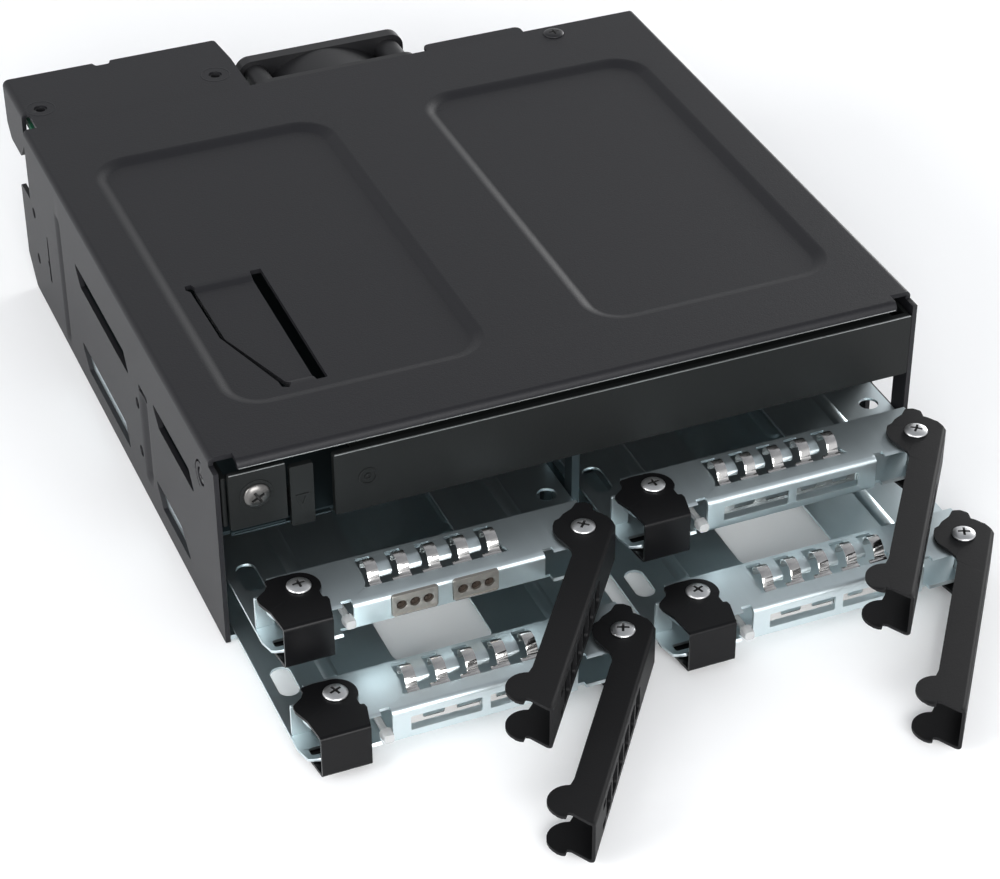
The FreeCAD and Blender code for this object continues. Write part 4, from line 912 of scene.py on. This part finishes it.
# the shelf's edge in the divider's darker zinc: painted shade
finish("shelf_edge", join(upright([(rect(-69.4, -50.4, 24.05, 24.35, 0.1, 2), [])], 0.9, 2.5)), "divider",
       "cage", [], "zinc_steel", edge=0.08)


# ------------ rear panel
# One pierced sheet: the fan's opening and screws, the sockets and a row of vents.  Its upper left
# is cut away for the optical bay, and a small flap reaches back from its top.
PORTS = [(26.0 + 20 * i, z) for i in (0, 1) for z in (4.2, 15.2)]
FAN_Z, FAN_PITCH = 20.6, 16         # height of the fan's axis, half its screws' distance
corner = [(sx * FAN_PITCH, FAN_Z + sz * FAN_PITCH) for sx in (-1, 1) for sz in (-1, 1)]
pierced = [ring(0, FAN_Z, 18.2, 72)] + [ring(x, z, 1.5, 20) for x, z in corner]
pierced += [rect(x, x + 14.4, z, z + 6.4, 0.4, 3) for x, z in PORTS]
pierced += [rect(-63.4, -24.4, 6.4, 15.6, 0.4, 3)]
pierced += [rect(28 + i * 4, 29.6 + i * 4, 26.2, 37.2, 0.7, 4) for i in range(10)]
sheet_edge = [(-72, 1), (72, 1), (72, 40.25), (-19.9, 40.25), (-19.9, 26.0, 0.6), (-71.5, 26.0, 0.6),
              (-71.5, 40.25), (-72, 40.25)]
flap = rounded([(22, 133.5), (46, 133.5), (46, 139, 1.5), (22, 139, 1.5)], 0, 4)
panel = [upright([(rounded(sheet_edge), pierced)], 133.05, 133.95), level([(flap, [])], 39.3, 40.25)]
finish("panel_sheet", join(*panel), "cover", "cage", ["rear_panel"], "painted_steel", edge=0.1)


# ------------ data sockets
# Four moulded shells with an L-shaped mouth.  Each one has its tongue, its back wall and seven
# gilt contacts.
MOUTH = [(1.5, 1.5), (12.9, 1.5), (12.9, 4.2), (11.6, 4.2), (11.6, 4.9), (1.5, 4.9)]
TONGUE = [(2.6, 2.5), (12.2, 2.5), (12.2, 4.0), (11.2, 4.0), (11.2, 3.5), (2.6, 3.5)]
shells, blades = [], []
for x, z in PORTS:
    mouth, tongue = [[(x + a, z + b) for a, b in shape] for shape in (MOUTH, TONGUE)]
    shells.append(upright([(rect(x + 0.25, x + 14.15, z + 0.25, z + 6.15, 0.4, 3), [rounded(mouth, 0.2, 2)])],
                          122.6, 135))
    shells.append(upright([(rounded(tongue, 0.1, 2), [])], 123, 134.4))
    shells.append(upright([(rect(x + 1.0, x + 13.5, z + 1.0, z + 5.5, 0.3, 3), [])], 122.8, 126))
    for k in range(7):
        contact = rect(x + 3.4 + k * 1.27, x + 3.85 + k * 1.27, z + 2.38, z + 2.6, 0.05, 2)
        blades.append(upright([(contact, [])], 127, 134))
finish("data_shells", join(*shells), "plastic", "cage", ["data_ports"], "black_plastic", edge=0.1)
finish("data_contacts", join(*blades), "gold", "cage", [], "clip_bronze", edge=0.03)


# ------------ power sockets
# One moulded block with four pin cavities and an L-shaped mouth, a latch rib on top and a gilt
# pin in each cavity.
PIN_PITCH = 5
cavities = [[(x, 8.6), (x + 3.1, 8.6), (x + 3.1, 12.4, 0.9), (x, 12.4, 0.9)]
            for x in [-61.6 + i * PIN_PITCH for i in range(4)]]
mouth = [(-38, 9.6), (-28, 9.6), (-28, 12.4), (-29, 12.4), (-29, 11.8), (-38, 11.8)]
block = [upright([(rect(-63.15, -24.65, 6.65, 15.35, 0.6, 4),
                   [rounded(c, 0.2, 3) for c in cavities] + [rounded(mouth, 0.2, 2)])], 122.6, 137.9),
         upright([(rect(-62, -26, 7.6, 14.4, 0.4, 3), [])], 122.8, 127),
         level([(rect(-57, -45, 134, 137.6, 0.4, 3), [])], 15.3, 16.1)]
finish("power_block", join(*block), "plastic", "cage", ["power_ports"], "black_plastic", edge=0.12)
IN_Y = OUT_Y.inverted()             # height to the rear
pins = [(lathe([(0, 9.5), (0.55, 9.2), (0.75, 8.4), (0.75, 0), (0, 0)], 20),
         Matrix.Translation((-60.05 + i * PIN_PITCH, Y0 + 127, 10.5)) @ IN_Y) for i in range(4)]
finish("power_pins", join(*pins), "gold", "cage", [], "clip_bronze", edge=0.0, smooth=40)


# ------------ bracket
# A sheet behind the cover, folded down at its left side over the optical bay's board, with two
# hollow studs through it and a raised ring round each.
FLAP = 12.7
STUDS, STUD_Y = (-66.4, -26.0), 144
across_b, lines_b, _ = fold([(-70.5, 27.1), (-70.5, 39.8), (-20.4, 39.8)], 0.9)


def on_plate(points):
    return [(p[0] + 70.5 + FLAP, *p[1:]) for p in points]


bracket_edge = [(0, 148, 1.5), (5.0, 143.8, 1.2), (FLAP - 1.6, 143.4, 0.5)]
bracket_edge += on_plate([(-69.4, 143.0, 0.5), (-69.4, 126.2), (-20.4, 126.2), (-20.4, 150, 1.2),
                          (-21.2, 159.8, 0.8), (-46.0, 159.8), (-46.6, 158.4, 0.6), (-49.6, 158.4, 0.6),
                          (-50.2, 159.8)])
bracket_edge += [(FLAP + 1.6, 159.8), (FLAP - 1.6, 159.8), (3.0, 159.4, 1.5), (0, 156.5, 1.5)]
bm = flat([(rounded(bracket_edge, 0.0, 4), [on_plate(ring(x, STUD_Y, 1.5, 24)) for x in STUDS])],
          [("u", t) for t in lines_b])
warp(bm, lambda t, y: (across_b(t).x, Y0 + y, across_b(t).y))
finish("bracket_sheet", bm, "cover", "cage", ["rear_bracket"], "painted_steel", thick=0.95, edge=0.12)
stud = [(1.05, 34.1), (1.42, 34.1), (1.42, 37.3), (2.3, 37.32), (2.3, 39.28), (1.46, 39.28), (1.46, 39.9),
        (1.05, 39.9), (1.05, 34.1)]
studs = [(lathe(stud, 24), Matrix.Translation((x, Y0 + STUD_Y, 0))) for x in STUDS]
dimples = [level([(ring(x, STUD_Y, 3.4, 36), [ring(x, STUD_Y, 3.0, 36)])], 40.2, 40.31) for x in STUDS]
finish("bracket_studs", join(*studs), "dark_screw", "cage", ["bracket_screws"], "black_screw", edge=0.04,
       smooth=40)
finish("bracket_dimples", join(*dimples), "cover", "cage", [], "painted_steel", edge=0.05, smooth=40)


# ------------ cover and wall screws
# A flat black screw at the rear of the cover and a smaller one high in each wall.  The cover's
# head stands on the sheet, and the walls' heads are sunk in their holes.
seat = Matrix.Translation((COVER_SCREW[0], Y0 + COVER_SCREW[1], 41.32))
finish("cover_screw_part", screw_mesh(2.35, 0.55, 1.4, -3.9, 0.4), "dark_screw", "cage", ["cover_screw"],
       "black_screw", edge=0.04, move=seat, smooth=40)
OUT_LEFT = Matrix(((0, 0, -1, 0), (1, 0, 0, 0), (0, 1, 0, 0), (0, 0, 0, 1)))
side_parts = [(screw_mesh(1.85, 0.5, 1.0, -2.4, 0.35),
         Matrix.Translation((s * 72.45, Y0 + WALL_SCREW[0], WALL_SCREW[1])) @ turn)
        for s, turn in ((-1, OUT_LEFT), (1, OUT_X))]
finish("wall_screws", join(*side_parts), "dark_screw", "cage", ["side_screws"], "black_screw", edge=0.03,
       smooth=40)


# ------------ fan frame
# Two flanges on a round duct, with a boss at each corner.  Four spokes carry the hub's seat at
# the rear.
FAN_REAR = 148.95
flange = (rect(-19.95, 19.95, FAN_Z - 19.95, FAN_Z + 19.95, 3.2, 8),
          [ring(0, FAN_Z, 18.8, 72)] + [ring(x, z, 1.75, 20) for x, z in corner])
frame_parts = [upright([flange], y0, y1) for y0, y1 in ((134.05, 137), (146, FAN_REAR))]
frame_parts.append(upright([(ring(0, FAN_Z, 19.85, 72), [ring(0, FAN_Z, 18.82, 72)])], 136.9, 146.1))
frame_parts += [upright([(ring(x, z, 3.0, 24), [ring(x, z, 1.77, 20)])], 136.9, 146.1) for x, z in corner]
frame_parts.append(upright([(ring(0, FAN_Z, 9.0, 48), [ring(0, FAN_Z, 1.35, 20)])], 147.4, FAN_REAR))
FAN_AXIS = Matrix.Translation((0, Y0, FAN_Z))
spoke = rounded([(8.6, -0.9), (19.2, -0.75), (19.2, 0.75), (8.6, 0.9)], 0.1, 2)
for a in (45, 135, 225, 315):
    turn = Matrix.Rotation(math.radians(a), 4, "Y")
    frame_parts.append((slab([(spoke, [])], -148.9, -147.5), FAN_AXIS @ turn @ OUT_Y))
finish("fan_housing", join(*frame_parts), "plastic", "cage", ["fan_frame"], "black_plastic", edge=0.25)


# ------------ fan rotor
# A plain hub with seven swept blades, which widen and flatten towards their tips.  It turns with
# its own body.
ALONG = FAN_AXIS @ IN_Y
BLADES, ROWS, HUB_R, TIP_R = 7, 8, 8.4, 17.7
hub = [(0, 135.4), (6.8, 135.4), (8.0, 135.7), (8.7, 136.4), (8.75, 137.4), (8.75, 146.6), (8.0, 146.8),
       (1.15, 146.8), (1.15, 148.6), (0, 148.6)]
rotor = [(lathe(hub, 56), ALONG)]
for k in range(BLADES):
    bm = bmesh.new()
    rows = []
    for i in range(ROWS + 1):
        out = i / ROWS
        r, rise = HUB_R + (TIP_R - HUB_R) * i / ROWS, 9.0 - 1.8 * out
        row = []
        for j in range(ROWS + 1):
            f = j / ROWS
            sweep = (f - 0.5) * (34 + 10 * out) + 9 * math.sin(f * math.pi) + 12 * out ** 2
            a = math.radians(360 * k / BLADES + sweep)
            row.append(bm.verts.new((r * math.cos(a), r * math.sin(a), 141.2 + (f - 0.5) * rise)))
        rows.append(row)
    for p, q in zip(rows, rows[1:]):
        for j in range(ROWS):
            bm.faces.new((p[j], p[j + 1], q[j + 1], q[j]))
    bmesh.ops.solidify(bm, geom=bm.faces[:], thickness=0.7)
    rotor.append((bm, ALONG))
finish("rotor", join(*rotor), "plastic", "fan_rotor", ["fan_rotor"], "black_plastic", edge=0.0, smooth=45)


# ------------ fan screws
# Four long screws from the rear, through the frame's corners and the panel.  Their heads lie on
# the frame's rear flange.
pins = [(screw_mesh(2.65, 1.4, 1.35, -16.2, 0.8), Matrix.Translation((x, Y0 + 149.0, z)) @ IN_Y)
        for x, z in corner]
finish("fan_screw_parts", join(*pins), "screw", "cage", ["fan_screws"], "screw_zinc", edge=0.04, smooth=40)


# ------------ floor
# A plain pale sheet just under the lowest pieces, with a faint glow so that it stays white.  It
# is stage, not part.
floor = bpy.data.meshes.new("floor")
floor.from_pydata([(x, y, -0.0002) for x, y in ((-3, -3), (3, -3), (3, 3), (-3, 3))], [], [(0, 1, 2, 3)])
paper = material("floor_white", (0.97, 0.975, 0.98), 0.0, 0.9, 0.01, 60, 0.0, 0.01, spec=0.2, span=0.03)
glow = paper.node_tree.nodes["Principled BSDF"].inputs
glow["Emission Color"].default_value = (1, 1, 1, 1)
glow["Emission Strength"].default_value = 0.05
floor.materials.append(paper)
stage = placed("floor", floor)
